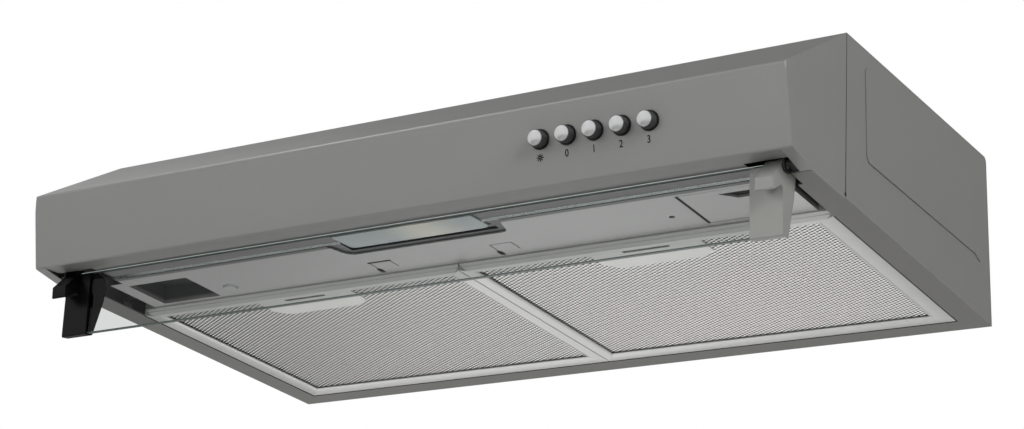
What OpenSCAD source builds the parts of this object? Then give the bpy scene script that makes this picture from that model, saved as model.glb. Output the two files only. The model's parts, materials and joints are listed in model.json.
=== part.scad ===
// Under-cabinet range hood, 600 mm wide, with two hinged grease filters and a glass visor.
// Lengths are in millimetres. The frame has +Z up and +Y towards the wall.
// Its origin is the centre of the cabinet screw pattern on the top face.
// Inside the file the shapes are laid out from the front face (y = 0) and from the
// rear bottom edge (z = 0), and seat() moves them to the origin at the very end.

/* [Body] */
// Width of the hood
hood_w = 600; // [560:1:640]
// Depth from the front face to the wall
hood_d = 352; // [348:1:370]
// Height of the rear panel
hood_h = 128; // [126:1:140]
// Height of the underside at the seam, above the rear bottom edge
under_rise = 14.5; // [12:0.5:17]
// Thickness of the steel sheet
sheet = 1; // [0.8:0.1:1.2]
// Width of the flanges round the filter opening
flange_w = 19; // [17:0.5:21]
// Bend radius along the rear edge of the top
rear_bend = 4; // [2:0.5:6]
// Height of the pressed field on each side panel
field_h = 0.8; // [0.5:0.1:1]
// Spacing of the cabinet screws across the hood
cabinet_pitch_x = 500; // [480:5:520]
// Spacing of the cabinet screws from front to rear
cabinet_pitch_y = 180; // [160:5:190]
// Distance of the rear cabinet screws from the wall
cabinet_back = 40; // [30:1:44]
// Radius of the cabinet screw holes
cabinet_hole_r = 2.75; // [2:0.25:3.5]
// Spacing of the wall screws
wall_pitch = 460; // [420:5:500]
// Depth of the wall screws below the top
wall_drop = 24; // [18:1:40]
// Radius of the wall screw holes
wall_hole_r = 3; // [2.5:0.25:4]

/* [Fascia] */
// Depth of the fascia at the top
fascia_d = 91; // [88:0.5:93]
// How much further forward the seam behind the fascia is at its foot
seam_lean = 6; // [4:0.5:8]
// Height of the front face
face_h = 52.6; // [48:0.1:56]
// Height of the foot of the front face above the seam foot
face_foot_rise = 8.9; // [8:0.1:10]
// How far the foot of the front face lies behind its top edge
face_lean = 8.4; // [6:0.1:11]
// Depth at which the bottom edge of a cheek changes slope
kink_d = 38.5; // [36:0.5:42]
// Height of that point above the seam foot
kink_rise = 3.2; // [2.6:0.1:4]
// How much narrower the front is on each side
fascia_taper = 1.8; // [1:0.1:2.5]
// Depth at which the flange under the front ends
front_flange_d = 48.5; // [46:0.5:50]
// Width of the lip under each cheek
cheek_lip = 9.5; // [8:0.5:11]
// Bend radius along the top edge of the front face
face_bend = 3; // [1:0.5:4]
// Bend radius of the two upright front edges
corner_bend = 2.5; // [1.5:0.5:3]

/* [Buttons] */
// Pitch of the buttons
button_pitch = 19.5; // [18:0.1:22]
// Distance of the last button from the side of the hood
button_side = 95.4; // [85:0.1:110]
// Distance of the buttons below the top edge of the front face
button_drop = 22.5; // [18:0.5:28]
// Radius of a button cap
button_r = 5.75; // [5:0.05:6.5]
// How far a cap stands out of the front face
button_out = 9; // [7:0.5:11]
// Travel of a button
button_travel = 3; // [2:0.5:4]
// Running gap round a cap
button_gap = 0.3; // [0.2:0.05:0.5]
// Wall of the black ring round a cap
button_ring = 0.7; // [0.5:0.1:1]

/* [Lamp panel] */
// Height of the lamp panel above the plane of the flanges
panel_recess = 5.2; // [4.5:0.1:6]
// Gap between each end of the panel and the side flange
panel_end_gap = 10.5; // [8:0.5:11]
// Depth at which the panel ends and the filters begin
panel_rear = 110; // [106:0.5:112]
// Height of the turned-up edges of the panel
panel_lip = 8; // [6:0.5:10]
// Width of the lamp lens
lens_w = 112; // [100:1:124]
// Depth of the lamp lens
lens_d = 26.4; // [24:0.1:30]
// Depth of the front edge of the lens
lens_front = 35.6; // [35.4:0.1:37]
// Radius of the lamp bulb
bulb_r = 12; // [10:0.5:12.5]

/* [Filters] */
// Gap round each filter cassette
filter_gap = 0.5; // [0.4:0.1:0.8]
// Height of a filter frame
filter_h = 10; // [9.6:0.1:11]
// Width of the outer frame member
member_outer = 14; // [12:0.5:16]
// Width of the frame member in the middle of the hood
member_inner = 10.5; // [9:0.5:12]
// Width of the rear frame member
member_rear = 15; // [13:0.5:17]
// Width of the front frame member
member_front = 9; // [7:0.5:10]
// Thickness of the mesh pad
mesh_t = 5; // [4.5:0.1:5.5]
// Height of the mesh pad above the lower face of the frame
mesh_lift = 2; // [1.6:0.1:2.4]
// Width of a handle plate
handle_w = 83; // [70:1:90]
// Depth of a handle plate
handle_d = 31; // [30:1:36]
// Width of the finger slot
slot_w = 36; // [30:1:37]
// Travel of a latch
latch_travel = 3; // [2:0.5:3.5]

/* [Fan] */
// Radius of the impeller
fan_r = 75; // [70:1:78]
// Height of the impeller
fan_h = 46; // [40:1:48]
// Number of impeller blades
fan_blades = 36; // [24:1:40]
// Least gap between impeller and scroll
scroll_gap = 5; // [4:0.5:6]
// How much the scroll opens in one turn
scroll_growth = 52; // [44:1:56]
// Wall of the scroll
scroll_wall = 2; // [1.6:0.1:2.4]
// Height of the scroll
scroll_h = 60; // [58:1:64]
// Radius of the motor
motor_r = 38; // [34:1:42]
// Height of the motor
motor_h = 47; // [44:1:48]
// Radius of the motor shaft
shaft_r = 3; // [2.5:0.25:4]
// Radial running clearance of a shaft or pin
fit_gap = 0.05; // [0.02:0.01:0.1]

/* [Outlet] */
// Outer radius of the duct collar
collar_r = 60; // [55:0.5:61]
// Height of the collar above the top face
collar_h = 32; // [28:1:40]
// Wall of the collar
collar_wall = 2; // [1.6:0.1:2.4]
// Distance of the collar's axis from the wall
collar_back = 90; // [86:1:94]

/* [Visor] */
// Thickness of the visor glass
glass_t = 4; // [3:0.5:4]
// Depth of the visor pivot
pivot_d = 30; // [29.5:0.5:30.5]
// Depth of the pivot below the flange under the front
pivot_drop = 3.4; // [3.2:0.1:4]
// Height of the visor glass
glass_h = 46; // [40:1:50]
// Width of a visor bracket
bracket_w = 22; // [20:0.5:24]
// Width of the hooked part of a bracket
hook_w = 12; // [10:0.5:13]
// Radius of the visor pivot pins
pivot_r = 2; // [1.5:0.25:2.25]

/* [Hidden] */
$fn = 64;
eps = 0.01;
// Segments of a rounded corner of an outline
arc_steps = 4;

// Heights and depths that follow from the values above
fascia_foot_d = fascia_d - seam_lean;
face_foot = under_rise + face_foot_rise;
face_top = face_foot + face_h;
face_tilt = atan(face_lean / face_h);
under_tilt = atan(under_rise / (hood_d - fascia_foot_d));
half_w = hood_w / 2;
origin_d = hood_d - cabinet_back - cabinet_pitch_y / 2;
top_under = hood_h - sheet;

// Side outline of the fascia, from the foot of the front face, counter-clockwise
fascia_side = [[face_lean, face_foot], [kink_d, under_rise + kink_rise], [fascia_foot_d, under_rise],
    [fascia_d, hood_h], [0, face_top]];
// Plan of the fascia, from the front left, counter-clockwise
fascia_plan = [[-half_w + fascia_taper, 0], [half_w - fascia_taper, 0], [half_w, fascia_d],
    [-half_w, fascia_d]];
// Side outline of the body behind the seam
body_side = [[fascia_foot_d, under_rise], [hood_d, 0], [hood_d, hood_h], [fascia_d, hood_h]];

// Unit vector along v
function unit(v) = v / norm(v);
// Normal of the edge from p to q, which points into a counter-clockwise outline
function inward(p, q) = let (v = unit(q - p)) [-v[1], v[0]];
// A counter-clockwise outline with every edge moved inwards by d
function inset(pts, d) = [for (i = [0 : len(pts) - 1])
    let (n = len(pts), a = inward(pts[(i + n - 1) % n], pts[i]), b = inward(pts[i], pts[(i + 1) % n]))
    pts[i] + d * (a + b) / (1 + a * b)];
// The arc of radius r that rounds corner b between its neighbours a and c
function corner_arc(a, b, c, r) = r <= 0 ? [b]
    : let (u = unit(a - b), v = unit(c - b), half = acos(u * v) / 2,
        mid = b + unit(u + v) * r / sin(half),
        s = b + u * r / tan(half) - mid, e = b + v * r / tan(half) - mid)
    [for (k = [0 : arc_steps]) mid + r * unit(s * (arc_steps - k) + e * k)];
// An outline with corner i rounded to radii[i]
function rounded(pts, radii) = [for (i = [0 : len(pts) - 1])
    let (n = len(pts)) each corner_arc(pts[(i + n - 1) % n], pts[i], pts[(i + 1) % n], radii[i])];
// An outline whose edge after corner i is moved out by d along both its neighbours
function drawn_out(pts, i, d) = [for (k = [0 : len(pts) - 1]) let (n = len(pts))
    k == i ? pts[k] + d * unit(pts[k] - pts[(k + n - 1) % n])
    : k == (i + 1) % n ? pts[k] + d * unit(pts[k] - pts[(k + 1) % n])
    : pts[k]];
// A rectangle from corner p, with one radius at all corners
function round_rect(p, size, r) = rounded(
    [p, [p[0] + size[0], p[1]], [p[0] + size[0], p[1] + size[1]], [p[0], p[1] + size[1]]], [r, r, r, r]);

// Moves the model from its layout corner to the origin of its frame
module seat() translate([0, -origin_d, -hood_h]) children();

// Extrudes a (depth, height) outline across the hood, centred
module across(w) rotate([90, 0, 90]) linear_extrude(w, center = true) children();

// Extrudes a (depth, height) outline from x0 to x1
module across_from(x0, x1) translate([x0, 0, 0]) rotate([90, 0, 90]) linear_extrude(x1 - x0) children();

// Frame of the underside: z is 0 in the plane of the flanges, y keeps its depth
module underside() translate([0, hood_d, 0]) rotate([-under_tilt, 0, 0]) translate([0, -hood_d, 0]) children();

// Frame of the front face: y points into the hood, z runs up the face from its top edge
module on_face() translate([0, 0, face_top]) rotate([face_tilt, 0, 0]) children();

// Both sides of the hood, the second one mirrored
module both_sides() {
    children();
    mirror([1, 0, 0]) children();
}

// A copy on one side: 1 is right, -1 is left
module on_side(side) {
    if (side > 0) children();
    else mirror([1, 0, 0]) children();
}

/* Canopy: the folded body of painted steel */

// Plane field pressed outwards in each side panel, as a (depth, height) outline
field_front = 120;
field_rear = hood_d - 17;
field_top = hood_h - 12.5;
field = [[field_front, 50], [field_rear - 15, 45.4], [field_rear - 3, 41], [field_rear, field_top], [field_front, field_top]];
field_r = [5, 4, 3, 5, 5];
// Depth at which the tucked wings of the body start behind the cheeks
wing_front = 40;
// Width of the returns along the edges of a wing
wing_return = 8;
// The side flanges start here, with a notch for the swing of the visor brackets
flange_front = kink_d - 0.75;
flange_notch_rear = 55.5;
flange_notch_w = 3.5;
// How far a room that is open at the seam is drawn out past it
open_reach = 10;

// The solid fascia with all its faces moved inwards by d, and drawn out to the rear by reach
module fascia_form(d, reach) intersection() {
    across(hood_w + 2) polygon(rounded(drawn_out(inset(fascia_side, d), 2, reach),
        [max(2 - d, 0.5), 0, 0, 0, max(face_bend - d, 0.5)]));
    translate([0, 0, -1]) linear_extrude(hood_h + 2) polygon(rounded(drawn_out(inset(fascia_plan, d), 2, reach),
        [max(corner_bend - d, 0.5), max(corner_bend - d, 0.5), 0, 0]));
}

// The region behind the joint between cheek lip and side flange, in plan
module behind_lip(shift) translate([0, 0, -1]) linear_extrude(hood_h) both_sides() polygon([
    [half_w + 1, flange_front + shift], [half_w - flange_w + flange_notch_w, flange_front + shift],
    [half_w - flange_w + flange_notch_w, flange_notch_rear], [half_w - flange_w, flange_notch_rear],
    [half_w - flange_w, fascia_d + 5], [half_w + 1, fascia_d + 5]]);

module body_shell() difference() {
    across(hood_w) polygon(rounded(body_side, [0, 0, rear_bend, 0]));
    across(hood_w - 2 * sheet) polygon(rounded(drawn_out(inset(body_side, sheet), 3, open_reach),
        [0, 0, max(rear_bend - sheet, 0.5), 0]));
    underside() translate([-half_w + flange_w, 0, -5])
        cube([hood_w - 2 * flange_w, hood_d - flange_w, panel_recess + 10]);
}

// Wings tucked behind the cheeks, with narrow returns at the top and the bottom
module body_wings() intersection() {
    difference() {
        fascia_form(sheet, 3 * sheet);
        fascia_form(2 * sheet, open_reach);
    }
    both_sides() translate([half_w - wing_return - sheet, wing_front, 0]) cube([wing_return + 2, fascia_d, hood_h]);
}

// Joggle that joins each wing to its side panel
module wing_joggles() both_sides() across_from(half_w - 2 * sheet, half_w - sheet / 2) polygon([
    [fascia_foot_d, under_rise], [fascia_foot_d + 3, under_rise], [fascia_d + 3, hood_h - sheet], [fascia_d, hood_h - sheet]]);

// Flanges that carry the underside plane forwards to the cheek lips
module wing_flanges() intersection() {
    across(hood_w - 2 * sheet) polygon([[kink_d - 1, under_rise + kink_rise], [fascia_foot_d, under_rise],
        [fascia_foot_d + 2, under_rise], [fascia_foot_d + 2, under_rise + sheet], [fascia_foot_d, under_rise + sheet],
        [kink_d - 1, under_rise + kink_rise + sheet]]);
    behind_lip(0);
    translate([0, 0, -1]) linear_extrude(hood_h) polygon(inset(fascia_plan, sheet));
}

// Joggled lip of the top panel, which lies under the fascia's sloping top
module top_lip() {
    n = inward([fascia_d, hood_h], [0, face_top]);
    u = unit([0, face_top] - [fascia_d, hood_h]);
    start = [fascia_d, hood_h] + 16 * u + sheet * n;
    across(hood_w - 2 * (sheet + wing_return)) polygon([start, start + sheet * n,
        [fascia_d + 4, top_under - sheet], [fascia_d + 4, top_under], [fascia_d + 1, top_under]]);
}

module cabinet_holes() for (sx = [-1, 1], sy = [-1, 1])
    translate([sx * cabinet_pitch_x / 2, origin_d + sy * cabinet_pitch_y / 2, hood_h - 5])
        cylinder(h = 10, r = cabinet_hole_r);

module wall_holes() for (s = [-1, 1])
    translate([s * wall_pitch / 2, hood_d - 5, hood_h - wall_drop]) rotate([-90, 0, 0]) cylinder(h = 10, r = wall_hole_r);

// Raised field on a side panel
module side_fields() both_sides() across_from(half_w - sheet / 2, half_w + field_h) polygon(rounded(field, field_r));

module canopy() seat() color("gray") difference() {
    union() {
        body_shell();
        body_wings();
        wing_joggles();
        wing_flanges();
        top_lip();
        side_fields();
    }
    cabinet_holes();
    wall_holes();
    collar_bore(hood_h - 5, 10);
    collar_screw_holes(hood_h - 5, 10);
    gland_hole(hood_h - 5, 10);
}

/* Fascia: the folded front cover */

// Where a visor bracket ends, and the notch for it in the flange under the front
bracket_out = half_w - flange_w + flange_notch_w - 0.7;
bracket_in = bracket_out - bracket_w;
notch_front = pivot_d - 6;
notch_inner = bracket_in - 2;
// Room left round the lens in the flange
lens_room = 1.5;

module fascia() seat() color("darkgray") difference() {
    union() {
        difference() {
            fascia_form(0, 0);
            fascia_form(sheet, open_reach);
            // Below the flange only the two cheek lips stay
            translate([-half_w + cheek_lip, face_lean, -1]) cube([hood_w - 2 * cheek_lip, fascia_d, face_foot + 1]);
            // Behind the lips the body's own flanges take over
            intersection() {
                behind_lip(-0.6);
                translate([0, 0, -1]) linear_extrude(face_foot + 2) polygon(inset(fascia_plan, sheet));
            }
        }
        translate([-half_w + cheek_lip, face_lean + 0.6, face_foot])
            cube([hood_w - 2 * cheek_lip, front_flange_d - face_lean - 0.6, sheet]);
    }
    both_sides() translate([notch_inner - 1, notch_front, face_foot - 1])
        cube([half_w - cheek_lip - notch_inner + 1, front_flange_d, sheet + 2]);
    translate([-lens_w / 2 - lens_room, lens_front - 0.6, face_foot - 1]) cube([lens_w + 2 * lens_room, 30, sheet + 2]);
    for (i = [0 : 4]) button_axis(i) translate([0, 0, -5]) cylinder(h = 12, r = ring_r + 0.1);
}

/* Lamp panel: the sheet between fascia and filters */

panel_half = half_w - flange_w - panel_end_gap;
panel_front = front_flange_d;
// Corner notches in which the visor brackets swing end here
swing_notch_rear = 58;
hanger_d = 8;
hanger_foot = panel_rear - 4;
// Cut-out for the lens, narrower towards its rear
cutout_w = lens_w + 28;
cutout_slant = 6;
cutout_rear = lens_front + lens_d + 7.5;
cutout = [[-cutout_w / 2, panel_front - 1], [cutout_w / 2, panel_front - 1],
    [cutout_w / 2 - cutout_slant, cutout_rear], [-cutout_w / 2 + cutout_slant, cutout_rear]];
cutout_r = [0, 0, 5, 9];
// Terminal cover, with an opening at its front
cover_x = half_w - 103;
cover_w = 58;
cover_front = 55;
cover_rear = panel_rear - 5;
cover_opening = [for (p = [[-77, 61.6], [-54.4, 61.6], [-59, 71.4], [-67, 71.4]]) [half_w + p[0], p[1]]];
// Blind pocket on the left
pocket_x = 42 - half_w;
pocket_w = 53;
pocket_front = 64;
pocket_h = 14;
// The screw sits beside the pocket, the plain hole beside the terminal cover
screw_place = [pocket_x + pocket_w + 19, 93];
hole_place = [cover_x - 18.5, 86];
screw_r = 2;
screw_l = 9;
// Two tongues cut free on three sides, each with a long hole at its left rear
tongue_x = [-51.5, 47.5];
tongue_w = 17.5;
tongue_front = 87;
tongue_d = 13;
slit_w = 0.8;
long_hole_w = 4.4;
long_hole_d = 8.5;

module lamp_panel() seat() underside() color("darkgray") difference() {
    union() {
        translate([-panel_half, panel_front, panel_recess]) cube([2 * panel_half, panel_rear - panel_front, sheet]);
        // Turned-up front, rear and end edges
        translate([-panel_half, panel_front, panel_recess]) cube([2 * panel_half, sheet, panel_lip]);
        translate([-panel_half, panel_rear - sheet, panel_recess]) cube([2 * panel_half, sheet, panel_lip]);
        both_sides() translate([panel_half - sheet, panel_front, panel_recess])
            cube([sheet, panel_rear - panel_front, panel_lip]);
        // Hangers that stand on the side flanges
        both_sides() translate([panel_half - sheet, hanger_foot - hanger_d, panel_recess + panel_lip - sheet])
            cube([panel_end_gap + 11, hanger_d, sheet]);
        both_sides() translate([panel_half + panel_end_gap + 9, hanger_foot - hanger_d, sheet])
            cube([sheet, hanger_d, panel_recess + panel_lip - sheet]);
        // Pocket wall
        translate([pocket_x - sheet, pocket_front - sheet, panel_recess])
            cube([pocket_w + 2 * sheet, panel_rear - pocket_front - 2, pocket_h + sheet]);
    }
    translate([pocket_x, pocket_front, panel_recess - 1]) cube([pocket_w, panel_rear - pocket_front - 4, pocket_h + 1]);
    // Lens cut-out, open at the front
    translate([0, 0, panel_recess - 1]) linear_extrude(panel_lip + 3) polygon(rounded(cutout, cutout_r));
    // Room for the visor brackets
    both_sides() translate([notch_inner - 1, panel_front - 1, panel_recess - 1])
        cube([bracket_w + panel_end_gap, swing_notch_rear - panel_front + 1, panel_lip + 3]);
    // Opening under the terminal cover
    translate([cover_x, cover_front, panel_recess - 1]) cube([cover_w, cover_rear - cover_front, sheet + 2]);
    for (p = [screw_place, hole_place]) translate([p[0], p[1], panel_recess - 1]) cylinder(h = sheet + 2, r = screw_r);
    for (x = tongue_x) {
        translate([x - tongue_w / 2, tongue_front, panel_recess - 1]) {
            cube([tongue_w, slit_w, sheet + 2]);
            cube([slit_w, tongue_d, sheet + 2]);
            translate([tongue_w - slit_w, 0, 0]) cube([slit_w, tongue_d, sheet + 2]);
        }
        translate([0, 0, panel_recess - 1]) linear_extrude(sheet + 2) polygon(round_rect(
            [x - (tongue_w + long_hole_w) / 2, tongue_front + tongue_d - slit_w], [long_hole_w, long_hole_d], 2));
    }
    // Slots for the filter latches, clear of the bolts
    both_sides() translate([filter_mid - bolt_half - 1, panel_rear - 3, bolt_z - 0.3])
        cube([2 * bolt_half + 2, 6, bolt_t + 0.8]);
}

module terminal_cover() seat() underside() color("darkgray") difference() {
    union() {
        translate([cover_x + 0.5, cover_front + 0.5, panel_recess])
            cube([cover_w - 1, cover_rear - cover_front - 1, sheet + eps]);
        translate([cover_x - 5, cover_front - 4, panel_recess + sheet])
            cube([cover_w + 9, cover_rear - cover_front + 7, sheet]);
    }
    translate([0, 0, panel_recess - 1]) linear_extrude(2 * sheet + 2) polygon(cover_opening);
}

// A flat washer-head screw under the panel, with its shank
module panel_screw() seat() underside() color("silver") translate([screw_place[0], screw_place[1], 0]) {
    translate([0, 0, panel_recess - 1.4]) cylinder(h = 1.4, r1 = 5, r2 = 6);
    translate([0, 0, panel_recess - eps]) cylinder(h = screw_l, r = screw_r);
}

/* Lamp: housing, lens, holder and bulb */

lamp_wall = 1.2;
lamp_h = 35;
lens_rim = 3;
lens_low = face_foot - 1;
ledge_z = face_foot + sheet + 1.5;
lamp_front = lens_front - lens_rim - lamp_wall - 0.2;
lamp_depth = lens_d + 2 * (lens_rim + lamp_wall + 0.2);
lamp_w = lens_w + 2 * (lens_rim + lamp_wall + 0.2);
bulb_y = lens_front + lens_d / 2;
bulb_z = face_foot + sheet + 19;
bulb_end = lens_w / 2 - 22;
cap_r = 7;

module lamp_housing() seat() color("whitesmoke") difference() {
    translate([-lamp_w / 2, lamp_front, face_foot + sheet]) cube([lamp_w, lamp_depth, lamp_h]);
    translate([-lamp_w / 2 + lamp_wall, lamp_front + lamp_wall, ledge_z])
        cube([lamp_w - 2 * lamp_wall, lamp_depth - 2 * lamp_wall, lamp_h - 1.5 - lamp_wall]);
    translate([-lens_w / 2 - 0.4, lens_front - 0.4, face_foot]) cube([lens_w + 0.8, lens_d + 0.8, 10]);
}

module lamp_lens() seat() color("white") difference() {
    union() {
        translate([0, 0, lens_low]) linear_extrude(ledge_z - lens_low + 1.4)
            polygon(rounded([[-lens_w / 2, lens_front], [lens_w / 2, lens_front],
                [lens_w / 2, lens_front + lens_d], [-lens_w / 2, lens_front + lens_d]], [1, 1, 5, 5]));
        translate([-lens_w / 2 - lens_rim, lens_front - lens_rim, ledge_z]) cube([lens_w + 2 * lens_rim, lens_d + 2 * lens_rim, 1.4]);
    }
    translate([-lens_w / 2 + 2, lens_front + 2, lens_low + 2]) cube([lens_w - 4, lens_d - 4, 10]);
}

module lamp_holder() seat() color("ivory") difference() {
    translate([bulb_end + 4, bulb_y, bulb_z]) rotate([0, 90, 0])
        cylinder(h = lamp_w / 2 - lamp_wall - bulb_end - 4, r = bulb_r);
    translate([bulb_end, bulb_y, bulb_z]) rotate([0, 90, 0]) cylinder(h = 22, r = cap_r + 0.3);
}

module lamp_bulb() seat() color("lightyellow") translate([0, bulb_y, bulb_z]) rotate([0, 90, 0]) {
    translate([0, 0, -bulb_end]) cylinder(h = 2 * bulb_end - 6, r = bulb_r);
    translate([0, 0, -bulb_end]) sphere(r = bulb_r);
    translate([0, 0, bulb_end - 6 - eps]) cylinder(h = 8, r1 = bulb_r, r2 = cap_r);
    translate([0, 0, bulb_end]) cylinder(h = 22, r = cap_r);
}

/* Buttons: five caps, their guide and the switch block */

button_start = half_w - button_side - 4 * button_pitch;
ring_r = button_r + button_gap + button_ring;
guide_t = 13;
guide_half = 9;
cap_in = 9;
stem_r = 2.5;
stem_in = 23;
dome_rise = 1.6;
block_d = 30;

// Frame of button i: z points along the travel, into the hood, from the front face
module button_axis(i) on_face() translate([button_start + i * button_pitch, 0, -button_drop]) rotate([-90, 0, 0]) children();

// Cap with a shallow dome and a softened edge, turned round its travel axis, and its stem
module button_shape(i) seat() color("silver") button_axis(i) {
    dome_r = (button_r * button_r + dome_rise * dome_rise) / (2 * dome_rise);
    rotate_extrude() polygon(concat([[0, cap_in]],
        [for (k = [0 : 6]) let (x = (button_r - 0.5) * k / 6) [x, -button_out + dome_r - sqrt(dome_r * dome_r - x * x)]],
        [[button_r, -button_out + dome_rise + 0.4], [button_r, cap_in]]));
    translate([0, 0, cap_in - eps]) cylinder(h = stem_in - cap_in, r = stem_r);
}

module button_light() button_shape(0);
module button_stop() button_shape(1);
module button_speed_1() button_shape(2);
module button_speed_2() button_shape(3);
module button_speed_3() button_shape(4);

module button_guide() seat() color("black") difference() {
    union() {
        on_face() translate([button_start - 11, sheet, -button_drop - guide_half])
            cube([4 * button_pitch + 22, guide_t - sheet, 2 * guide_half]);
        for (i = [0 : 4]) button_axis(i) translate([0, 0, -0.4]) cylinder(h = 3, r = ring_r);
    }
    for (i = [0 : 4]) button_axis(i) translate([0, 0, -2]) cylinder(h = guide_t + 4, r = button_r + button_gap);
}

module switch_block() seat() color("dimgray") {
    difference() {
        on_face() translate([button_start - 10, guide_t, -button_drop - guide_half + 1])
            cube([4 * button_pitch + 20, block_d, 2 * guide_half - 2]);
        for (i = [0 : 4]) button_axis(i) translate([0, 0, guide_t - 1]) cylinder(h = stem_in + button_travel - guide_t + 1.5, r = stem_r + button_gap);
    }
    // Push-on contacts
    for (i = [0 : 5]) on_face() translate([button_start - 4 + i * 15, guide_t + block_d - eps, -button_drop - 3]) cube([0.8, 7, 6.3]);
}

/* Fan: scroll, impeller and motor */

fan_x = -146;
tongue_angle = 60;
scroll_turn = 330;
fan_y = hood_d - sheet - 6 - scroll_wall - scroll_gap - fan_r - scroll_growth * scroll_turn / 360;
scroll_r0 = fan_r + scroll_gap;
scroll_z = top_under - scroll_h;
chamber_r = collar_r + 4;
collar_y = hood_d - collar_back;
inlet_r = fan_r - 15;
fan_z = scroll_z + scroll_wall + 4;
blade_step = 4;
blade_t = 1.2;
motor_top = fan_z + fan_h - 12;
motor_low = motor_top - motor_h;
hub_r = 9;
arm_t = 3;
arm_w = 12;
arm_end_r = 7.5;
bush_place = inlet_r + 9;

// Radius of the scroll after it has run through angle a from its tongue
function scroll_radius(a) = scroll_r0 + scroll_growth * a / 360;

// Block of the scroll grown by d: spiral, throat and the chamber under the collar
module scroll_block(d, h) {
    throat_y = fan_y + scroll_r0 * sin(tongue_angle) - d;
    rear_y = fan_y + scroll_radius(scroll_turn) + d;
    linear_extrude(h) polygon([for (a = [0 : 6 : scroll_turn]) let (t = tongue_angle - a)
        [fan_x, fan_y] + (scroll_radius(a) + d) * [cos(t), sin(t)]]);
    translate([fan_x, throat_y, 0]) cube([chamber_r - fan_x + d, rear_y - throat_y, h]);
    translate([0, collar_y, 0]) cylinder(h = h, r = chamber_r + d);
}

module fan_scroll() seat() color("dimgray") difference() {
    translate([0, 0, scroll_z + scroll_wall]) scroll_block(scroll_wall, scroll_h - scroll_wall);
    translate([0, 0, scroll_z]) scroll_block(0, scroll_h - scroll_wall);
    collar_bore(scroll_z, scroll_h + 5);
}

module scroll_cover() seat() color("dimgray") difference() {
    union() {
        translate([0, 0, scroll_z]) scroll_block(scroll_wall, scroll_wall);
        // Bell mouth of the inlet
        translate([fan_x, fan_y, scroll_z]) rotate_extrude() polygon([[inlet_r, 0], [inlet_r + 6, 0],
            [inlet_r + 2.5, scroll_wall + 2.5], [inlet_r, scroll_wall + 2.5]]);
    }
    translate([fan_x, fan_y, scroll_z - 1]) cylinder(h = 12, r = inlet_r);
    for (p = scroll_screw_places) translate([p[0], p[1], scroll_z - 1]) cylinder(h = scroll_wall + 2, r = 1.6);
}

// Screws at the rim of the cover, into the walls of the scroll
scroll_screw_places = [for (a = [60, 150, 240]) let (t = tongue_angle - a)
    [fan_x, fan_y] + (scroll_radius(a) + scroll_wall / 2) * [cos(t), sin(t)]];

module scroll_screws() seat() color("silver") for (p = scroll_screw_places)
    translate([p[0], p[1], scroll_z - 1.6]) {
        cylinder(h = 1.6, r = 3);
        cylinder(h = scroll_wall + 1.6, r = 1.6);
    }

// Forward-curved blade: an arc band between the two rims, in plan
module blade_plan() {
    inner = inlet_r + 1;
    outer = fan_r - 0.5;
    // The blade leaves the inner rim steeply and ends leaning forwards by lean degrees
    lean = 11;
    function mid(k) = let (s = k / blade_step, r = inner + (outer - inner) * s, t = -lean * s * s) r * [cos(t), sin(t)];
    front = [for (k = [0 : blade_step]) mid(k) + [0, blade_t / 2]];
    back = [for (k = [blade_step : -1 : 0]) mid(k) - [0, blade_t / 2]];
    polygon(concat(back, front));
}

module impeller() seat() color("black") translate([fan_x, fan_y, fan_z]) difference() {
    union() {
        // Top disc, lower rim and hub
        translate([0, 0, fan_h - 2]) cylinder(h = 2, r = fan_r);
        rotate_extrude() translate([inlet_r + 1, 0]) square([fan_r - inlet_r - 1, 2]);
        translate([0, 0, fan_h - 9]) cylinder(h = 9, r = hub_r);
        for (i = [0 : fan_blades - 1]) rotate([0, 0, i * 360 / fan_blades])
            translate([0, 0, 1]) linear_extrude(fan_h - 2) blade_plan();
    }
    translate([0, 0, fan_h - 12]) cylinder(h = 14, r = shaft_r);
}

module motor_shaft() seat() color("silver") translate([fan_x, fan_y, motor_top - 20])
    cylinder(h = fan_z + fan_h - motor_top + 21.5, r = shaft_r);

// Closed motor: drawn cup, stepped end and a neck round the shaft
module motor() seat() color("silver") translate([fan_x, fan_y, 0]) difference() {
    union() {
        rotate_extrude() polygon([[0, motor_low], [motor_r - 8, motor_low], [motor_r - 5, motor_low + 3],
            [motor_r - 5, motor_low + 12], [motor_r, motor_low + 12], [motor_r, motor_top - 9],
            [motor_r - 4, motor_top - 5], [12, motor_top - 4], [10, motor_top - 4], [10, motor_top], [0, motor_top]]);
    }
    translate([0, 0, motor_top - 20.5]) cylinder(h = 25, r = shaft_r + fit_gap);
}

module motor_bracket() seat() color("lightgray") translate([fan_x, fan_y, motor_low - arm_t]) difference() {
    union() {
        cylinder(h = arm_t, r = motor_r - 8);
        for (a = [0, 120, 240]) rotate([0, 0, a + 30]) translate([0, -arm_w / 2, 0]) cube([bush_place, arm_w, arm_t]);
        for (a = [0, 120, 240]) rotate([0, 0, a + 30]) translate([bush_place, 0, 0]) cylinder(h = arm_t, r = arm_end_r);
    }
    translate([0, 0, -1]) cylinder(h = arm_t + 2, r = 12);
}

// Rubber bushes between the bracket arms and the scroll cover
module motor_bushes() seat() color("black") for (a = [0, 120, 240]) translate([fan_x, fan_y, motor_low])
    rotate([0, 0, a + 30]) translate([bush_place, 0, 0]) cylinder(h = scroll_z - motor_low, r = 5);

/* Outlet: collar with two non-return flaps */

flap_z = hood_h + 13;
flap_t = 1.2;
flap_pin_r = 1.5;
knuckle_r = 2.6;
collar_in = collar_r - collar_wall;
flap_r = collar_in - 1.2;
collar_flange_r = collar_r + 12;
// How far a cut reaches past the faces it goes through
cut_past = 10;
// Lengths of pin under the knuckles of each flap, from front to rear
knuckles_left = [[-45, -25], [5, 25]];
knuckles_right = [[-22, -2], [28, 48]];

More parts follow.
